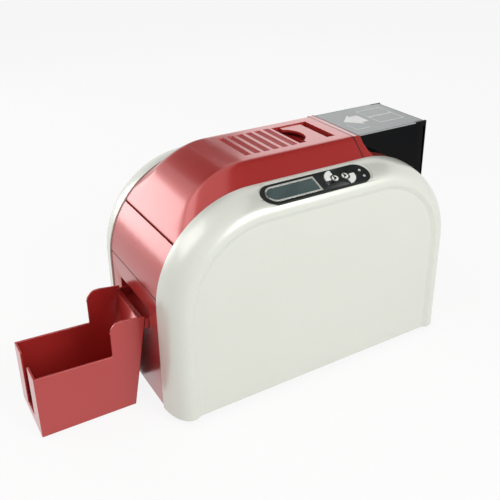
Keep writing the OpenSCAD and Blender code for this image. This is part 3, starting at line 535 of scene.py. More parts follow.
FINISHES: dict[Slot, Finish] = {
    # Silver car-type paint on ABS: pale champagne, soft broad highlights from the flake.
    Slot.SILVER_PAINT: SprayedPaint(
        "silver_metallic_paint",
        "#D9DBD1",
        "#E8EAE1",
        0.34,
        spread=0.02,
        metallic=0.2,
        coat=0.6,
        coat_roughness=0.14,
    ),
    # Red car-type paint on ABS: deep red that turns pink where it mirrors the light.
    Slot.RED_PAINT: SprayedPaint(
        "red_metallic_paint",
        "#AE2B28",
        "#C03F3B",
        0.34,
        spread=0.02,
        metallic=0.25,
        coat=0.8,
        coat_roughness=0.18,
    ),
    # Smoked polycarbonate: nearly black, mirrors the room.
    Slot.SMOKED_PLASTIC: PolishedPlastic(
        "smoked_polycarbonate",
        "#060709",
        "#131417",
        0.07,
        spread=0.03,
        mirror=0.06,
    ),
    # Black ABS from a textured mould.
    Slot.BLACK_PLASTIC: MouldedPlastic("black_moulded_abs", "#141415", "#1F1F21", 0.46),
    # Grey ABS with a satin grain, on the cassette's lid.
    Slot.GREY_PLASTIC: MouldedPlastic("grey_moulded_abs", "#8F9393", "#A5A9A9", 0.42, grain_mm=0.9),
    # White ABS of the keys and spools.
    Slot.WHITE_PLASTIC: MouldedPlastic("white_moulded_abs", "#E9E9E4", "#F4F4F0", 0.35, grain_depth_mm=0.006),
    # Pad-printed white ink: dense and slightly chalky.
    Slot.WHITE_PRINT: MouldedPlastic("white_pad_print", "#EFF0EE", "#FAFAF9", 0.55, grain_mm=0.4),
    # Dark satin ABS round the keys.
    Slot.PANEL_BLACK: MouldedPlastic("dark_satin_abs", "#161A18", "#1F2321", 0.34, grain_depth_mm=0.006),
    # Glass over an unlit liquid crystal.
    Slot.DISPLAY_GLASS: DisplayGlass("display_cover_glass", "#3C4848", "#5A6868", 0.1, spread=0.03),
    # Bright chromed plastic round the display.
    Slot.DISPLAY_TRIM: WorkedMetal("satin_chrome_trim", "#D8D8D4", "#B9B9B6", 0.28, stretch=(0.1, 1.0, 1.0)),
    # Turned and ground steel.
    Slot.STEEL: WorkedMetal("ground_steel", "#B9BBBE", "#8E9093", 0.3),
    # Zinc-plated sheet: crystals of zinc in pale greys.
    Slot.ZINC_SHEET: WorkedMetal("zinc_plated_sheet", "#C3C6CA", "#9EA2A8", 0.38, stretch=(0.08, 1.0, 1.0)),
    # Extruded aluminium with die lines.
    Slot.ALUMINIUM: WorkedMetal("extruded_aluminium", "#CBCED1", "#A8ABAE", 0.34, stretch=(1.0, 0.03, 1.0)),
    # Machined brass.
    Slot.BRASS: WorkedMetal("machined_brass", "#C9A45A", "#A17E3A", 0.3),
    # Ground nitrile rubber of the rollers.
    Slot.ROLLER_RUBBER: CastRubber("ground_nitrile_rubber", "#17181A", "#2C2D2F", 0.72),
    # Moulded feet.
    Slot.FOOT_RUBBER: CastRubber("moulded_foot_rubber", "#1B1B1C", "#333334", 0.8),
    # Neoprene belts with fabric facing.
    Slot.BELT_RUBBER: CastRubber("neoprene_belt", "#121314", "#2A2B2C", 0.68, tooth_mm=0.9),
    # Tacky silicone of the cleaning roller.
    Slot.BLUE_RUBBER: CastRubber("tacky_blue_silicone", "#2B66A6", "#4E84BC", 0.3),
    # Ribbon film coated with dye.
    Slot.RIBBON: DyeFilm("dye_coated_film", "#15151A", "#2A2A30", 0.2),
    # Green solder mask.
    Slot.BOARD_GREEN: SolderMask("green_solder_mask", "#0E4A2A", "#2E7A48", 0.32),
    # Clear lens of the status lamps over a white diffuser.
    Slot.LAMP_LENS: PolishedPlastic("clear_lamp_lens", "#EDEFEF", "#FFFFFF", 0.12, spread=0.04),
}

SLOT_OF: dict[str, Slot] = {part["node"]: Slot(part["material_slot"]) for part in frame["record"]["subparts"]}
BODY_OF: dict[str, str] = {
    member: body for body, members in frame["record"]["behaviour"]["bodies"].items() for member in members
}
# The photograph shows no bright dot at the end of the lid's pin, so the pin is taken as blackened steel and
# has the cassette's own finish.
REFINISHED: dict[str, Slot] = {"lid_pin": Slot.SMOKED_PLASTIC}


def finish_piece(
    piece: bpy.types.Object, body: str, slot: Slot, stands_for: tuple[str, ...] = ()
) -> bpy.types.Object:
    """Give a new piece the material of its slot, attach it to its body and hide the CAD nodes that it stands
    for.

    Args:
        piece: The new object, with its place in its mesh.
        body: The CAD body that it moves with.
        slot: The material slot that it takes its finish from.
        stands_for: The CAD nodes that it replaces.

    Returns:
        The same object.
    """
    piece.data.materials.clear()
    piece.data.materials.append(FINISHES[slot].material())
    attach(piece, body)
    if stands_for:
        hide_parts(*stands_for)
    return piece


def placed(name: str, mesh: bpy.types.Mesh) -> bpy.types.Object:
    """Put a mesh in the scene as an object at the origin."""
    made = bpy.data.objects.new(name, mesh)
    bpy.context.scene.collection.objects.link(made)
    return made


def merged(name: str, flats_joined: bool) -> bmesh.types.BMesh:
    """Copy a CAD node's loose triangles and merge their corners.

    Args:
        name: The CAD node.
        flats_joined: Whether the triangles of each flat are joined to one face too.

    Returns:
        The copy, which the caller frees.
    """
    shape = bmesh.new()
    shape.from_mesh(frame["nodes"][name].data)
    bmesh.ops.remove_doubles(shape, verts=shape.verts, dist=MERGE_MM * MM)
    if flats_joined:
        bmesh.ops.dissolve_limit(
            shape, angle_limit=math.radians(FLAT_DEG), verts=shape.verts, edges=shape.edges
        )
    return shape


def round_edges(piece: bpy.types.Object, edge_mm: float, angle_deg: float = EDGE_DEG) -> bpy.types.Modifier:
    """Round a piece's edges in two steps.

    Args:
        piece: The piece.
        edge_mm: Width of the rounding.
        angle_deg: Edges gentler than this stay.

    Returns:
        The modifier that does it.
    """
    rounding = piece.modifiers.new("edges", "BEVEL")
    rounding.width = edge_mm * MM
    rounding.segments = 2
    rounding.limit_method = "ANGLE"
    rounding.angle_limit = math.radians(angle_deg)
    rounding.use_clamp_overlap = False
    rounding.harden_normals = True
    return rounding


def rounded_copy(name: str, edge_mm: float, crease_deg: float, flats_joined: bool) -> bpy.types.Object:
    """Stand a copy of a CAD node in its place, with whole faces, soft curves and rounded edges.

    Args:
        name: The CAD node.
        edge_mm: Width of the rounding.
        crease_deg: Edges gentler than this are shaded smooth.
        flats_joined: Whether the triangles of each flat are joined to one face first.

    Returns:
        The new piece.
    """
    shape = merged(name, flats_joined)
    for face in shape.faces:
        face.smooth = True
    for edge in shape.edges:
        edge.smooth = not edge.is_manifold or edge.calc_face_angle(0.0) < math.radians(crease_deg)
    mesh = bpy.data.meshes.new(name + "_dressed")
    shape.to_mesh(mesh)
    shape.free()
    piece = placed(name + "_dressed", mesh)
    round_edges(piece, edge_mm).miter_outer = "MITER_ARC"
    return finish_piece(piece, BODY_OF[name], SLOT_OF[name], (name,))


def new_piece(name: str, points: np.ndarray, faces: list[list[int]], smooth: bool = True) -> bpy.types.Object:
    """Make an object at the origin.

    Args:
        name: The object's name.
        points: One row of x, y, z in metres for each point.
        faces: The numbers of each face's points, counter-clockwise from outside.
        smooth: Whether its faces are shaded as one curve.

    Returns:
        The object.
    """
    mesh = bpy.data.meshes.new(name)
    mesh.from_pydata(points.tolist(), [], faces)
    mesh.polygons.foreach_set("use_smooth", np.full(len(mesh.polygons), smooth))
    return placed(name, mesh)


def ribbon(
    title: str, first: np.ndarray, second: np.ndarray, outward: np.ndarray, ring: bool
) -> bpy.types.Object:
    """Span a flat ribbon between two lines of points, its faces toward outward.

    Args:
        title: The new piece's name.
        first: One line's points in mm.
        second: As many points of the other line, in mm.
        outward: The direction that the ribbon faces.
        ring: Whether the ribbon closes on itself.

    Returns:
        The new piece.
    """
    count = len(first)
    here = np.arange(count if ring else count - 1)
    there = (here + 1) % count
    faces = np.stack([here, here + count, there + count, there], 1)
    if np.cross(second[0] - first[0], first[1] - first[0]) @ outward < 0:
        faces = faces[:, ::-1]
    return new_piece(title, np.vstack([first, second]) * MM, faces.tolist(), smooth=False)


def body_point(along: np.ndarray, across: np.ndarray, up: np.ndarray) -> np.ndarray:
    """Turn body millimetres to metres in the shared frame.

    Args:
        along: Distances from the side covers' front end.
        across: Distances from the body's middle, positive to the far side.
        up: Heights over the floor.

    Returns:
        One x, y, z for each point, with x shifted by the body's middle.
    """
    return np.stack([along - MID_X, across, up], -1) * MM


def grid_faces(rows: int, columns: int) -> list[list[int]]:
    """List the four corners of each cell of a grid whose points are numbered row by row.

    Args:
        rows: Points along the first direction.
        columns: Points along the second direction.

    Returns:
        One list of four point numbers for each cell.
    """
    first = (np.arange(rows - 1)[:, None] * columns + np.arange(columns - 1)[None, :]).ravel()
    return np.stack([first, first + columns, first + columns + 1, first + 1], 1).tolist()


def prism(name: str, outline: list[tuple[float, float]], y1: float, y2: float) -> bpy.types.Object:
    """Carry a side-view outline straight across the body from y1 to y2 and close both ends.

    Args:
        name: The new object's name.
        outline: Corners (x, z) in body millimetres, counter-clockwise as seen from the near side.
        y1: Near end in mm.
        y2: Far end in mm.

    Returns:
        The closed solid.
    """
    corners = np.array(outline, float)
    count = len(corners)
    along = np.tile(corners[:, 0], 2)
    up = np.tile(corners[:, 1], 2)
    across = np.repeat([y1, y2], count)
    ring = np.arange(count)
    following = (ring + 1) % count
    sides = np.stack([ring, ring + count, following + count, following], 1).tolist()
    ends = [ring.tolist(), (ring[::-1] + count).tolist()]
    made = new_piece(name, body_point(along, across, up), sides + ends, smooth=False)
    shape = bmesh.new()
    shape.from_mesh(made.data)
    bmesh.ops.recalc_face_normals(shape, faces=shape.faces)
    shape.to_mesh(made.data)
    shape.free()
    return made


def box_outline(x1: float, x2: float, z1: float, z2: float) -> list[tuple[float, float]]:
    """Return the outline of an upright rectangle for prism."""
    return [(x1, z1), (x2, z1), (x2, z2), (x1, z2)]


def carved(piece: bpy.types.Object, steps: list[tuple[str, bpy.types.Object]]) -> bpy.types.Object:
    """Join solids to a piece and cut solids from it, in order, and keep the result as its mesh.

    Args:
        piece: The object that is worked on, with its own modifiers applied first.
        steps: "UNION" or "DIFFERENCE" and the solid that it uses, which is then removed.

    Returns:
        The same object with its new mesh and no modifiers.
    """
    for operation, tool in steps:
        change = piece.modifiers.new("carve", "BOOLEAN")
        change.operation = operation
        change.object = tool
        change.solver = "EXACT"
    bpy.context.view_layer.update()
    result = bpy.data.meshes.new_from_object(piece.evaluated_get(bpy.context.evaluated_depsgraph_get()))
    result.name = piece.name
    piece.modifiers.clear()
    piece.data = result
    for _, tool in steps:
        bpy.data.objects.remove(tool)
    return piece


@dataclass
class SubAssembly:
    """Pieces that are dressed together. Each entry of edges is a CAD node and its edge rounding in mm."""

    title: str
    edges: dict[str, float]
    crease_deg: float = EDGE_DEG
    flats_joined: bool = False

    def build(self) -> list[bpy.types.Object]:
        """Dress every node of the sub-assembly and report it.

        Returns:
            The dressed pieces.
        """
        made = [
            rounded_copy(name, edge_mm, self.crease_deg, self.flats_joined)
            for name, edge_mm in self.edges.items()
        ]
        LOG.info("%s: %d pieces", self.title, len(made))
        return made


@dataclass
class TopCover:
    """The hinged crown: its skin, louvres and latch pocket, with sizes in mm as in the solids."""

    crown_radius: float = 89.0
    crown_centre_x: float = 116.6
    arch_centre: tuple[float, float] = (110.0, 130.0)
    skin_radius: float = 108.5
    top: float = 258.3
    edge_top: float = 238.5
    crown_half: float = 43.7
    skin_half: float = 63.6
    rear_x: float = 256.3
    wall: float = 2.4
    shoulder_soft: float = 1.3
    latch_x: tuple[float, float] = (194.7, 242.0)
    latch_half: float = 29.2
    latch_floor: float = 249.3
    louvres: int = 6
    louvre_pitch: float = 11.7
    louvre_half: float = 30.3
    louvre_reach: float = 3.4
    pocket_wall: float = 1.8
    well_long: float = 18.4
    well_half: float = 15.0
    well_deep: float = 14.0
    slab_half: float = 33.0
    knuckle_radius: float = 4.0
    knuckle_gap: float = 0.2
    edge_mm: float = 0.3
    sharp_deg: float = 40.0

    def hinge_angle(self) -> float:
        """Return the angle in radians at which one tangent touches the crown's and the arch's circle."""
        dx = self.crown_centre_x - self.arch_centre[0]
        dz = self.top - self.crown_radius - self.arch_centre[1]
        gap = self.skin_radius - self.crown_radius
        return math.atan2(dz, dx) + math.acos(gap / math.hypot(dx, dz))

    def skin(self) -> bpy.types.Object:
        """Loft the skin from the hinge line to the rear end.

        Along the cover, the crown leaves the hinge line straight, on the tangent that its circle shares with
        the arch's, follows its circle and then runs level. The edge follows the arch's circle and then runs
        level. Across it, a point lies between crown and edge by a straight ramp with a softened corner,
        s * ln(1 + exp((|y| - crown half) / s)), scaled to 1 at the edge.

        Returns:
            The skin, with its wall as a live modifier.
        """
        start = self.hinge_angle()
        straight = np.linspace(0.0, 1.0, 9)[:-1]
        turn = np.linspace(start, math.pi / 2, 49)
        edge_turn = np.linspace(start, math.pi / 2, len(straight) + len(turn))
        level = np.linspace(0.0, 1.0, 25)[1:]
        crown_z1 = self.top - self.crown_radius
        hinge_x = self.arch_centre[0] + self.skin_radius * math.cos(start)
        hinge_z = self.arch_centre[1] + self.skin_radius * math.sin(start)
        meet_x = self.crown_centre_x + self.crown_radius * math.cos(start)
        meet_z = crown_z1 + self.crown_radius * math.sin(start)
        crown_x = np.concatenate(
            [
                hinge_x + (meet_x - hinge_x) * straight,
                self.crown_centre_x + self.crown_radius * np.cos(turn),
                self.crown_centre_x + (self.rear_x - self.crown_centre_x) * level,
            ]
        )
        crown_z = np.concatenate(
            [
                hinge_z + (meet_z - hinge_z) * straight,
                crown_z1 + self.crown_radius * np.sin(turn),
                np.full(len(level), self.top),
            ]
        )
        edge_x = np.concatenate(
            [
                self.arch_centre[0] + self.skin_radius * np.cos(edge_turn),
                self.arch_centre[0] + (self.rear_x - self.arch_centre[0]) * level,
            ]
        )
        edge_z = np.concatenate(
            [self.arch_centre[1] + self.skin_radius * np.sin(edge_turn), np.full(len(level), self.edge_top)]
        )
        half = np.concatenate(
            [
                np.linspace(0.0, self.crown_half - 6, 8),
                np.linspace(self.crown_half - 5, self.crown_half + 6, 16),
                np.linspace(self.crown_half + 8, self.skin_half, 7),
            ]
        )
        across = np.concatenate([-half[:0:-1], half])
        soft = self.shoulder_soft
        ramp = soft * np.log1p(np.exp((np.abs(across) - self.crown_half) / soft))
        share = ramp / ramp.max()
        along = crown_x[:, None] + (edge_x - crown_x)[:, None] * share[None, :]
        up = crown_z[:, None] + (edge_z - crown_z)[:, None] * share[None, :]
        wide = np.broadcast_to(across[None, :], along.shape)
        points = body_point(along, wide, up).reshape(-1, 3)
        piece = new_piece("crown_skin", points, grid_faces(len(crown_x), len(across)))
        thick = piece.modifiers.new("wall", "SOLIDIFY")
        thick.thickness = self.wall * MM
        thick.offset = -1.0
        thick.use_even_offset = True
        return piece

    def work(self) -> list[tuple[str, bpy.types.Object]]:
        """List what is joined to the skin and cut from it: the latch pocket, its floor and the louvres.

        Returns:
            "UNION" or "DIFFERENCE" and the solid that it uses, in order.
        """
        x1, x2 = self.latch_x
        floor = self.latch_floor
        half = self.latch_half
        wall = self.pocket_wall
        top = self.top
        well = (x1 + 2, x1 + 2 + self.well_long)
        first = x1 - 7.5 - (self.louvres - 1) * self.louvre_pitch
        slab = box_outline(first - 8, x1 - 0.2, top - 5, top - 1.6)
        pocket = box_outline(x1 - wall, x2 + wall, floor - wall, top - 1.7)
        shell = box_outline(x1 - wall, well[1] + wall, top - self.well_deep - wall, top - 2)
        opening = box_outline(x1, x2, floor, top + 9)
        hole = box_outline(*well, top - self.well_deep, top + 6)
        steps = [
            ("UNION", prism("louvre_slab", slab, -self.slab_half, self.slab_half)),
            ("UNION", prism("pocket", pocket, -half - wall, half + wall)),
            ("UNION", prism("well", shell, -self.well_half - 3, self.well_half + 3)),
            ("DIFFERENCE", prism("pocket_cut", opening, -half, half)),
            ("DIFFERENCE", prism("well_cut", hole, -self.well_half, self.well_half)),
        ]
        for x in first + np.arange(self.louvres) * self.louvre_pitch:
            left = x - self.louvre_reach
            groove = [(left, top - 2.9), (x + 3.6, top - 0.3), (x + 3.6, top + 2), (left, top + 2)]
            slot = box_outline(left, x - 1.6, top - 8, top - 1)
            steps.append(("DIFFERENCE", prism("groove", groove, -self.louvre_half, self.louvre_half)))
            steps.append(("DIFFERENCE", prism("slot", slot, -self.louvre_half, self.louvre_half)))
        return steps

    def knuckle(self) -> bpy.types.Object:
        """Turn the hinge knuckle: a round bar across the body, just under the skin at the hinge line.

        Its side view is a circle of knuckle_radius, whose centre lies on the hinge direction of the arch.

        Returns:
            The closed bar.
        """
        angle = self.hinge_angle()
        reach = self.skin_radius - self.knuckle_radius - self.knuckle_gap
        turn = np.linspace(0, 2 * math.pi, 49)[:-1]
        x = self.arch_centre[0] + reach * math.cos(angle) + self.knuckle_radius * np.cos(turn)
        z = self.arch_centre[1] + reach * math.sin(angle) + self.knuckle_radius * np.sin(turn)
        half = self.skin_half - 1
        return prism("hinge_knuckle", list(zip(x.tolist(), z.tolist())), -half, half)

    def build(self) -> list[bpy.types.Object]:
        """Make the crown and its knuckle, and stand the crown for the CAD cover.

        Returns:
            The crown and the knuckle.
        """
        crown = carved(self.skin(), self.work())
        crown.data.set_sharp_from_angle(angle=math.radians(EDGE_DEG))
        round_edges(crown, self.edge_mm, self.sharp_deg)
        finish_piece(crown, "cover", Slot.RED_PAINT, ("top_cover",))
        bar = self.knuckle()
        bar.data.polygons.foreach_set("use_smooth", np.full(len(bar.data.polygons), True))
        bar.data.set_sharp_from_angle(angle=math.radians(self.sharp_deg))
        finish_piece(bar, "cover", Slot.RED_PAINT)
        LOG.info("top cover: crown and knuckle")
        return [crown, bar]


@dataclass
class KeyDots:
    """The dark dot in the middle of each round key."""

    keys: tuple[str, ...] = ("left_ring_key", "right_ring_key")
    radius_share: float = 0.42
    lift: float = 0.05
    points: int = 40

    def build(self) -> list[bpy.types.Object]:
        """Lay one flat round dot on each key's top.

        The top's middle and radius come from the key's own solid. The dot's rim is the middle plus
        radius times (cos t * along + sin t * down), with down along the panel's slope.

        Returns:
            The dots.
        """
        outward = np.array(PANEL_OUTWARD)
        along = np.array(ALONG_BODY)
        down = np.cross(outward, along)
        turn = np.linspace(0.0, 2 * math.pi, self.points, endpoint=False)[:, None]
        ring = np.arange(self.points)
        faces = np.stack([np.full(self.points, self.points), ring, (ring + 1) % self.points], 1).tolist()
        made = []
        for name in self.keys:
            key = frame["nodes"][name].data
            spots = np.empty(len(key.vertices) * 3, np.float32)
            key.vertices.foreach_get("co", spots)
            spots = spots.reshape(-1, 3).astype(float)
            height = spots @ outward
            top = spots[height > height.max() - 0.01 * MM]
            radius = np.ptp(top[:, 0]) / 2 * self.radius_share
            middle = (top.max(0) + top.min(0)) / 2 + outward * self.lift * MM
            rim = middle + radius * (np.cos(turn) * along + np.sin(turn) * down)
            dot = new_piece(name + "_dot", np.vstack([rim, middle]), faces, smooth=False)
            made.append(finish_piece(dot, BODY_OF[name], Slot.PANEL_BLACK))
        LOG.info("key dots: %d pieces", len(made))
        return made


@dataclass(frozen=True)
class SeamShadeLine:
    """A black line of painted shade over the joint between two panels of the body, standing for the shade in
    the deep gap, along a broken line, sizes in mm.
    """

    title: str
    spots: tuple[tuple[float, float, float], ...]
    across: tuple[float, float, float]
    outward: tuple[float, float, float]
    width: float
    lift: float = 0.08

    def build(self) -> bpy.types.Object:
        """Lay the line of painted shade as a flat ribbon.

        Its two rims are each spot plus lift times outward, plus and minus half the width along across.

        Returns:
            The new piece.
        """
        outward = np.array(self.outward)
        line = np.array(self.spots) + outward * self.lift
        aside = np.array(self.across) * self.width / 2
        made = ribbon(self.title, line - aside, line + aside, outward, ring=False)
        return finish_piece(made, "body", Slot.PANEL_BLACK)


@dataclass(frozen=True)
class RimLine:
    """A thin line along the rim of a solid's top face, from start to end inward, in mm."""

    title: str
    node: str
    outward: tuple[float, float, float]
    start: float
    end: float
    slot: Slot
    lift: float = 0.06

    def corners(self) -> np.ndarray:
        """Find the outer loop of the widest face on top, in mm.

        Returns:
            One row of x, y, z for each corner, counter-clockwise as seen from outside.
        """
        facing = Vector(self.outward).normalized()
        shape = merged(self.node, flats_joined=True)
        level = max(vertex.co.dot(facing) for vertex in shape.verts) - 0.2 * MM
        tops = [
            face
            for face in shape.faces
            if face.normal.dot(facing) > 0.999 and face.calc_center_median().dot(facing) > level
        ]
        widest = max(tops, key=lambda face: face.calc_area())
        loop = np.array([tuple(vertex.co) for vertex in widest.verts]) / MM
        shape.free()
        return loop

    def build(self) -> bpy.types.Object:
        """Lay the line as a flat ribbon.

        At each corner the two edges' inward directions a and b give the mitre (a + b) / (1 + a . b). The
        ribbon's two rims are the corner plus start and end times that mitre.

        Returns:
            The new piece.
        """
        outward = np.array(self.outward)
        loop = self.corners()
        ahead = np.roll(loop, -1, axis=0) - loop
        ahead /= np.linalg.norm(ahead, axis=1, keepdims=True)
        inward = np.cross(outward, ahead)
        before = np.roll(inward, 1, axis=0)
        mitre = (inward + before) / (1.0 + (inward * before).sum(1, keepdims=True))
        base = loop + outward * self.lift
        made = ribbon(self.title, base + mitre * self.start, base + mitre * self.end, outward, ring=True)
        return finish_piece(made, BODY_OF[self.node], self.slot)


@dataclass
class ThinLines:
    """The thin lines that set off the panels, the lid and the display; the lines over the joints are painted
    shade.
    """

    crown_section: tuple[tuple[float, float], ...] = (
        (-63.5, 238.6),
        (-43.7, 258.3),
        (43.7, 258.3),
        (63.5, 238.6),
    )
    crown_end: float = 134.6
    lid_front: float = 141.6
    front_fold: tuple[float, float] = (-120.45, 138.8)

    def lines(self) -> tuple[SeamShadeLine | RimLine, ...]:
        """List the lines.

        Returns:
            The joints of the crown, the lid and the front panels, and the rims of the lid and the display.
        """
        fold_x, fold_z = self.front_fold
        crown = tuple((self.crown_end, y, z) for y, z in self.crown_section)
        lid = tuple((self.lid_front, y, z) for y, z in self.crown_section[1:3])
        front = tuple((fold_x, y, fold_z) for y in (self.crown_section[0][0], self.crown_section[3][0]))
        return (
            # Painted shade: black strips over the joints stand for the shade in their deep gaps.
            SeamShadeLine("crown_seam", crown, ALONG_BODY, UPWARD, 1.2),
            SeamShadeLine("lid_seam", lid, ALONG_BODY, UPWARD, 1.3),
            SeamShadeLine("front_panel_seam", front, UPWARD, TO_HOPPER, 1.0),
            RimLine("lid_border", "cassette_lid", UPWARD, 0.3, 1.1, Slot.PANEL_BLACK),
            RimLine("display_line", "display_frame", PANEL_OUTWARD, 0.05, 0.75, Slot.SILVER_PAINT),
        )

    def build(self) -> list[bpy.types.Object]:
        """Lay every line and report them.

        Returns:
            The new pieces.
        """
        made = [line.build() for line in self.lines()]
        LOG.info("thin lines: %d pieces", len(made))
        return made


SUB_ASSEMBLIES: tuple[SubAssembly, ...] = (
    SubAssembly("side covers", {"near_side_cover": 0.5, "far_side_cover": 0.5}, crease_deg=20.0),
    SubAssembly(
        "front panels and rear casing",
        {"lower_front_panel": 0.8, "middle_front_panel": 0.8, "rear_casing": 0.5},
    ),
    SubAssembly("cover latch", {"latch_plate": 0.4, "hinge_pin": 0.2}),
    SubAssembly(
        "card cassette",
        {"cassette_body": 0.7, "cassette_lid": 0.5, "lid_marks": 0.05, "card_weight": 0.4},
    ),
    SubAssembly("output hopper", {"output_hopper": 0.6}, flats_joined=True),
    SubAssembly(
        "control panel",
        {
            "panel_bezel": 0.4,
            "display_frame": 0.25,
            "display_window": 0.1,
            "left_arc_key": 0.2,
            "right_arc_key": 0.2,
            "left_ring_key": 0.2,
            "right_ring_key": 0.2,
            "status_lamps": 0.3,
        },
    ),
)


def dress_cad_nodes() -> int:
    """Give every CAD node that still shows its procedural finish.

    Returns:
        How many there are.
    """
    shown = [piece for piece in frame["nodes"].values() if not piece.hide_render]
    for piece in shown:
        piece.data.materials.clear()
        slot = REFINISHED.get(piece.name, SLOT_OF[piece.name])
        piece.data.materials.append(FINISHES[slot].material())
    return len(shown)


@dataclass(frozen=True)
class SoftLamp:
    """One rectangular soft lamp: where it hangs and what it faces in metres, its two sides and its watts.

    A lamp that isn't mirrored lights the object without a glare of its own.
    """

    name: str
    place: tuple[float, float, float]
    aim: tuple[float, float, float]
    size: tuple[float, float]
    watts: float
    mirrored: bool = True

    def build(self) -> bpy.types.Object:
        """Hang the lamp out of the camera's sight.

        Returns:
            The lamp.
        """
        light = bpy.data.lights.new(self.name, "AREA")
        light.shape = "RECTANGLE"
        light.size, light.size_y = self.size
        light.energy = self.watts
        lamp = bpy.data.objects.new(self.name, light)
        lamp.location = self.place
        lamp.rotation_euler = (Vector(self.aim) - Vector(self.place)).to_track_quat("-Z", "Y").to_euler()
        lamp.visible_camera = False
        lamp.visible_glossy = self.mirrored
        bpy.context.scene.collection.objects.link(lamp)
        return lamp


@dataclass(frozen=True)
class DarkFlag:
    """A black cloth hidden from the camera that darkens the slopes that mirror it."""

    name: str
    place: tuple[float, float, float]
    aim: tuple[float, float, float]
    size: tuple[float, float]
    cloth: str = "#0A0A0B"
    weave_mm: float = 3.0

    def build(self) -> bpy.types.Object:
        """Make one sheet square to the line from its place to its aim, with its place in its mesh.

        Its corners are the place plus and minus half of each side along the sheet's two directions.

        Returns:
            The sheet.
        """
        facing = (Vector(self.aim) - Vector(self.place)).to_track_quat("Z", "Y").to_matrix()
        across, upward = (side / 2 for side in self.size)
        spots = ((-across, -upward), (across, -upward), (across, upward), (-across, upward))
        corners = [Vector(self.place) + facing @ Vector((x, y, 0.0)) for x, y in spots]
        mesh = bpy.data.meshes.new(self.name)
        mesh.from_pydata(corners, [], [(0, 1, 2, 3)])
        sheet = placed(self.name, mesh)
        velvet = bpy.data.materials.new("black_velvet")
        velvet.use_nodes = True
        tree = velvet.node_tree
        tree.nodes.clear()
        weave = node(
            tree,
            "ShaderNodeTexNoise",
            {"Vector": node(tree, "ShaderNodeTexCoord").outputs["Object"], "Scale": per_metre(self.weave_mm)},
        )
        tint = node(
            tree,
            "ShaderNodeMix",
            {"Factor": weave.outputs["Fac"], "A": linear(self.cloth), "B": linear("#121213")},
            data_type="RGBA",
        )
        matt = node(tree, "ShaderNodeBsdfDiffuse", {"Color": tint.outputs["Result"]})
        node(tree, "ShaderNodeOutputMaterial", {"Surface": matt.outputs["BSDF"]})
        mesh.materials.append(velvet)
        sheet.visible_camera = False
        sheet.visible_diffuse = False
        sheet.visible_shadow = False
        return sheet


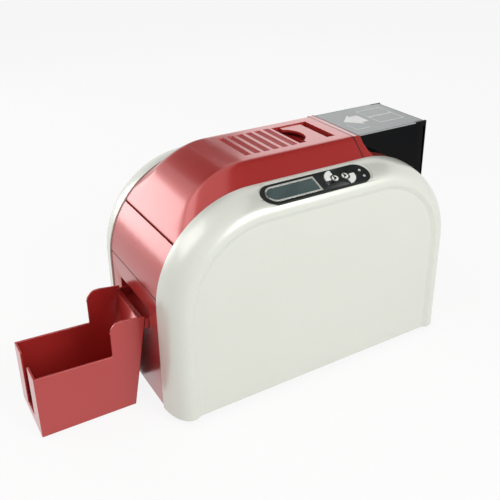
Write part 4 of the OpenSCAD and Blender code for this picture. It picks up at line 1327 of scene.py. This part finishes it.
@dataclass
class Studio:
    """Pale floor, even world light, soft lamps and dark flags.

    floor_glow is the share of plain white that the camera and reflections see in the floor, and ambient the
    strength of the world's light on the object.
    """

    floor_size: float = 12.0
    floor_colour: str = "#F2F2F0"
    paper_grain_mm: float = 4.0
    floor_glow: float = 0.88
    ambient: float = 0.34
    lamps: tuple[SoftLamp, ...] = (
        SoftLamp("key", (0.45, -1.45, 0.9), (0.0, 0.0, 0.12), (0.9, 0.9), 15.0),
        SoftLamp("rear_right", (1.05, 1.35, 0.83), (0.0, 0.0, 0.2), (0.9, 0.8), 1.6),
        SoftLamp("rear_left", (-0.83, 1.33, 0.42), (-0.1, 0.0, 0.12), (0.72, 0.6), 6.0),
        SoftLamp("top", (-1.1, 0.5, 1.15), (-0.1, 0.0, 0.15), (0.9, 0.9), 5.0),
        SoftLamp("left_fill", (-1.1, -0.8, 1.0), (-0.15, 0.0, 0.1), (0.9, 0.9), 3.0, mirrored=False),
    )
    flags: tuple[DarkFlag, ...] = (
        DarkFlag("front_right_flag", (0.58, -0.17, 1.12), (0.0, 0.0, 0.2), (1.5, 0.8)),
        DarkFlag("rear_flag", (-0.1, 1.05, 1.05), (0.0, 0.0, 0.2), (0.6, 0.5)),
        DarkFlag("crown_flag", (0.42, 1.12, 0.8), (0.0, 0.0, 0.26), (0.42, 0.36)),
        # Painted shade: a dark sheet on the floor under the hopper, hidden from the camera, stands for the
        # floor's shade there in the panels' reflections.
        DarkFlag("low_flag", (-0.185, 0.05, 0.002), (-0.185, 0.05, 1.0), (0.12, 0.09)),
    )

    def build(self) -> None:
        """Make the floor, the world, the lamps and the flags."""
        self.floor()
        self.world()
        for lamp in self.lamps:
            lamp.build()
        for flag in self.flags:
            flag.build()

    def floor(self) -> None:
        """Lay one flat sheet on z = 0: pale paper that stays white to the camera and keeps the shadow."""
        half = self.floor_size / 2
        across, along = np.meshgrid(np.array([-half, half]), np.array([-half, half]), indexing="ij")
        corners = np.stack([across.ravel(), along.ravel(), np.zeros(4)], 1)
        mesh = bpy.data.meshes.new("floor")
        mesh.from_pydata(corners.tolist(), [], [(0, 2, 3, 1)])
        sheet = placed("floor", mesh)
        paper = bpy.data.materials.new("matt_white_paper")
        paper.use_nodes = True
        tree = paper.node_tree
        tree.nodes.clear()
        ray = node(tree, "ShaderNodeLightPath")
        seen = node(
            tree,
            "ShaderNodeMath",
            {0: ray.outputs["Is Camera Ray"], 1: ray.outputs["Is Glossy Ray"]},
            operation="MAXIMUM",
        )
        share = node(
            tree,
            "ShaderNodeMath",
            {0: seen.outputs["Value"], 1: self.floor_glow},
            operation="MULTIPLY",
        )
        grain = node(
            tree,
            "ShaderNodeTexNoise",
            {
                "Vector": node(tree, "ShaderNodeTexCoord").outputs["Object"],
                "Scale": per_metre(self.paper_grain_mm),
                "Detail": 3.0,
            },
        )
        tint = node(
            tree,
            "ShaderNodeMix",
            {"Factor": grain.outputs["Fac"], "A": linear(self.floor_colour), "B": linear("#F8F8F7")},
            data_type="RGBA",
        )
        matt = node(tree, "ShaderNodeBsdfDiffuse", {"Color": tint.outputs["Result"]})
        glow = node(tree, "ShaderNodeEmission", {"Color": (1.0, 1.0, 1.0, 1.0), "Strength": 1.0})
        both = node(
            tree,
            "ShaderNodeMixShader",
            {0: share.outputs["Value"], 1: matt.outputs["BSDF"], 2: glow.outputs["Emission"]},
        )
        node(tree, "ShaderNodeOutputMaterial", {"Surface": both.outputs["Shader"]})
        mesh.materials.append(paper)

    def world(self) -> None:
        """Light the room evenly, and show it white to the camera and in reflections."""
        world = bpy.data.worlds.new("studio")
        bpy.context.scene.world = world
        world.use_nodes = True
        tree = world.node_tree
        tree.nodes.clear()
        ray = node(tree, "ShaderNodeLightPath")
        mirrored = node(
            tree,
            "ShaderNodeMath",
            {0: ray.outputs["Is Glossy Ray"], 1: ray.outputs["Is Transmission Ray"]},
            operation="MAXIMUM",
        )
        seen = node(
            tree,
            "ShaderNodeMath",
            {0: ray.outputs["Is Camera Ray"], 1: mirrored.outputs["Value"]},
            operation="MAXIMUM",
        )
        strength = node(
            tree,
            "ShaderNodeMapRange",
            {"Value": seen.outputs["Value"], "To Min": self.ambient, "To Max": 1.0},
        )
        sky = node(
            tree,
            "ShaderNodeBackground",
            {"Color": (1.0, 1.0, 1.0, 1.0), "Strength": strength.outputs["Result"]},
        )
        node(tree, "ShaderNodeOutputWorld", {"Surface": sky.outputs["Background"]})


@dataclass
class PhotoCamera:
    """The photograph's camera, with its place in mm, its angles in degrees and its focal length in pixels."""

    place_mm: tuple[float, float, float] = (-342.1, -624.4, 519.6)
    yaw: float = 30.5
    pitch: float = -24.45
    roll: float = -0.66
    focal_px: float = 703.9
    image_px: float = 500.0
    rise_px: float = -50.0

    def build(self) -> None:
        """Set the camera up by its forward, right and up directions, and make it the scene's own."""
        yaw, pitch, roll = (math.radians(angle) for angle in (self.yaw, self.pitch, self.roll))
        forward = Vector((math.sin(yaw) * math.cos(pitch), math.cos(yaw) * math.cos(pitch), math.sin(pitch)))
        right = forward.cross(Vector((0.0, 0.0, 1.0))).normalized()
        up = right.cross(forward)
        across = right * math.cos(roll) + up * math.sin(roll)
        upward = up * math.cos(roll) - right * math.sin(roll)
        turn = Matrix((across, upward, -forward)).transposed().to_4x4()
        optics = bpy.data.cameras.new("photo_camera")
        optics.sensor_width = 36.0
        optics.lens = self.focal_px * optics.sensor_width / self.image_px
        optics.shift_y = self.rise_px / self.image_px
        optics.clip_start = 0.01
        camera = bpy.data.objects.new("photo_camera", optics)
        camera.matrix_world = Matrix.Translation(Vector(self.place_mm) * MM) @ turn
        bpy.context.scene.collection.objects.link(camera)
        bpy.context.scene.camera = camera


def main() -> None:
    """Build the camera, the studio and every sub-assembly in order."""
    logging.basicConfig(level=logging.INFO, format="%(name)s: %(message)s")
    bpy.context.scene.view_settings.view_transform = "Standard"
    PhotoCamera().build()
    Studio().build()
    TopCover().build()
    for assembly in SUB_ASSEMBLIES:
        assembly.build()
    KeyDots().build()
    ThinLines().build()
    LOG.info("finished CAD nodes: %d", dress_cad_nodes())


if __name__ == "__main__":
    main()
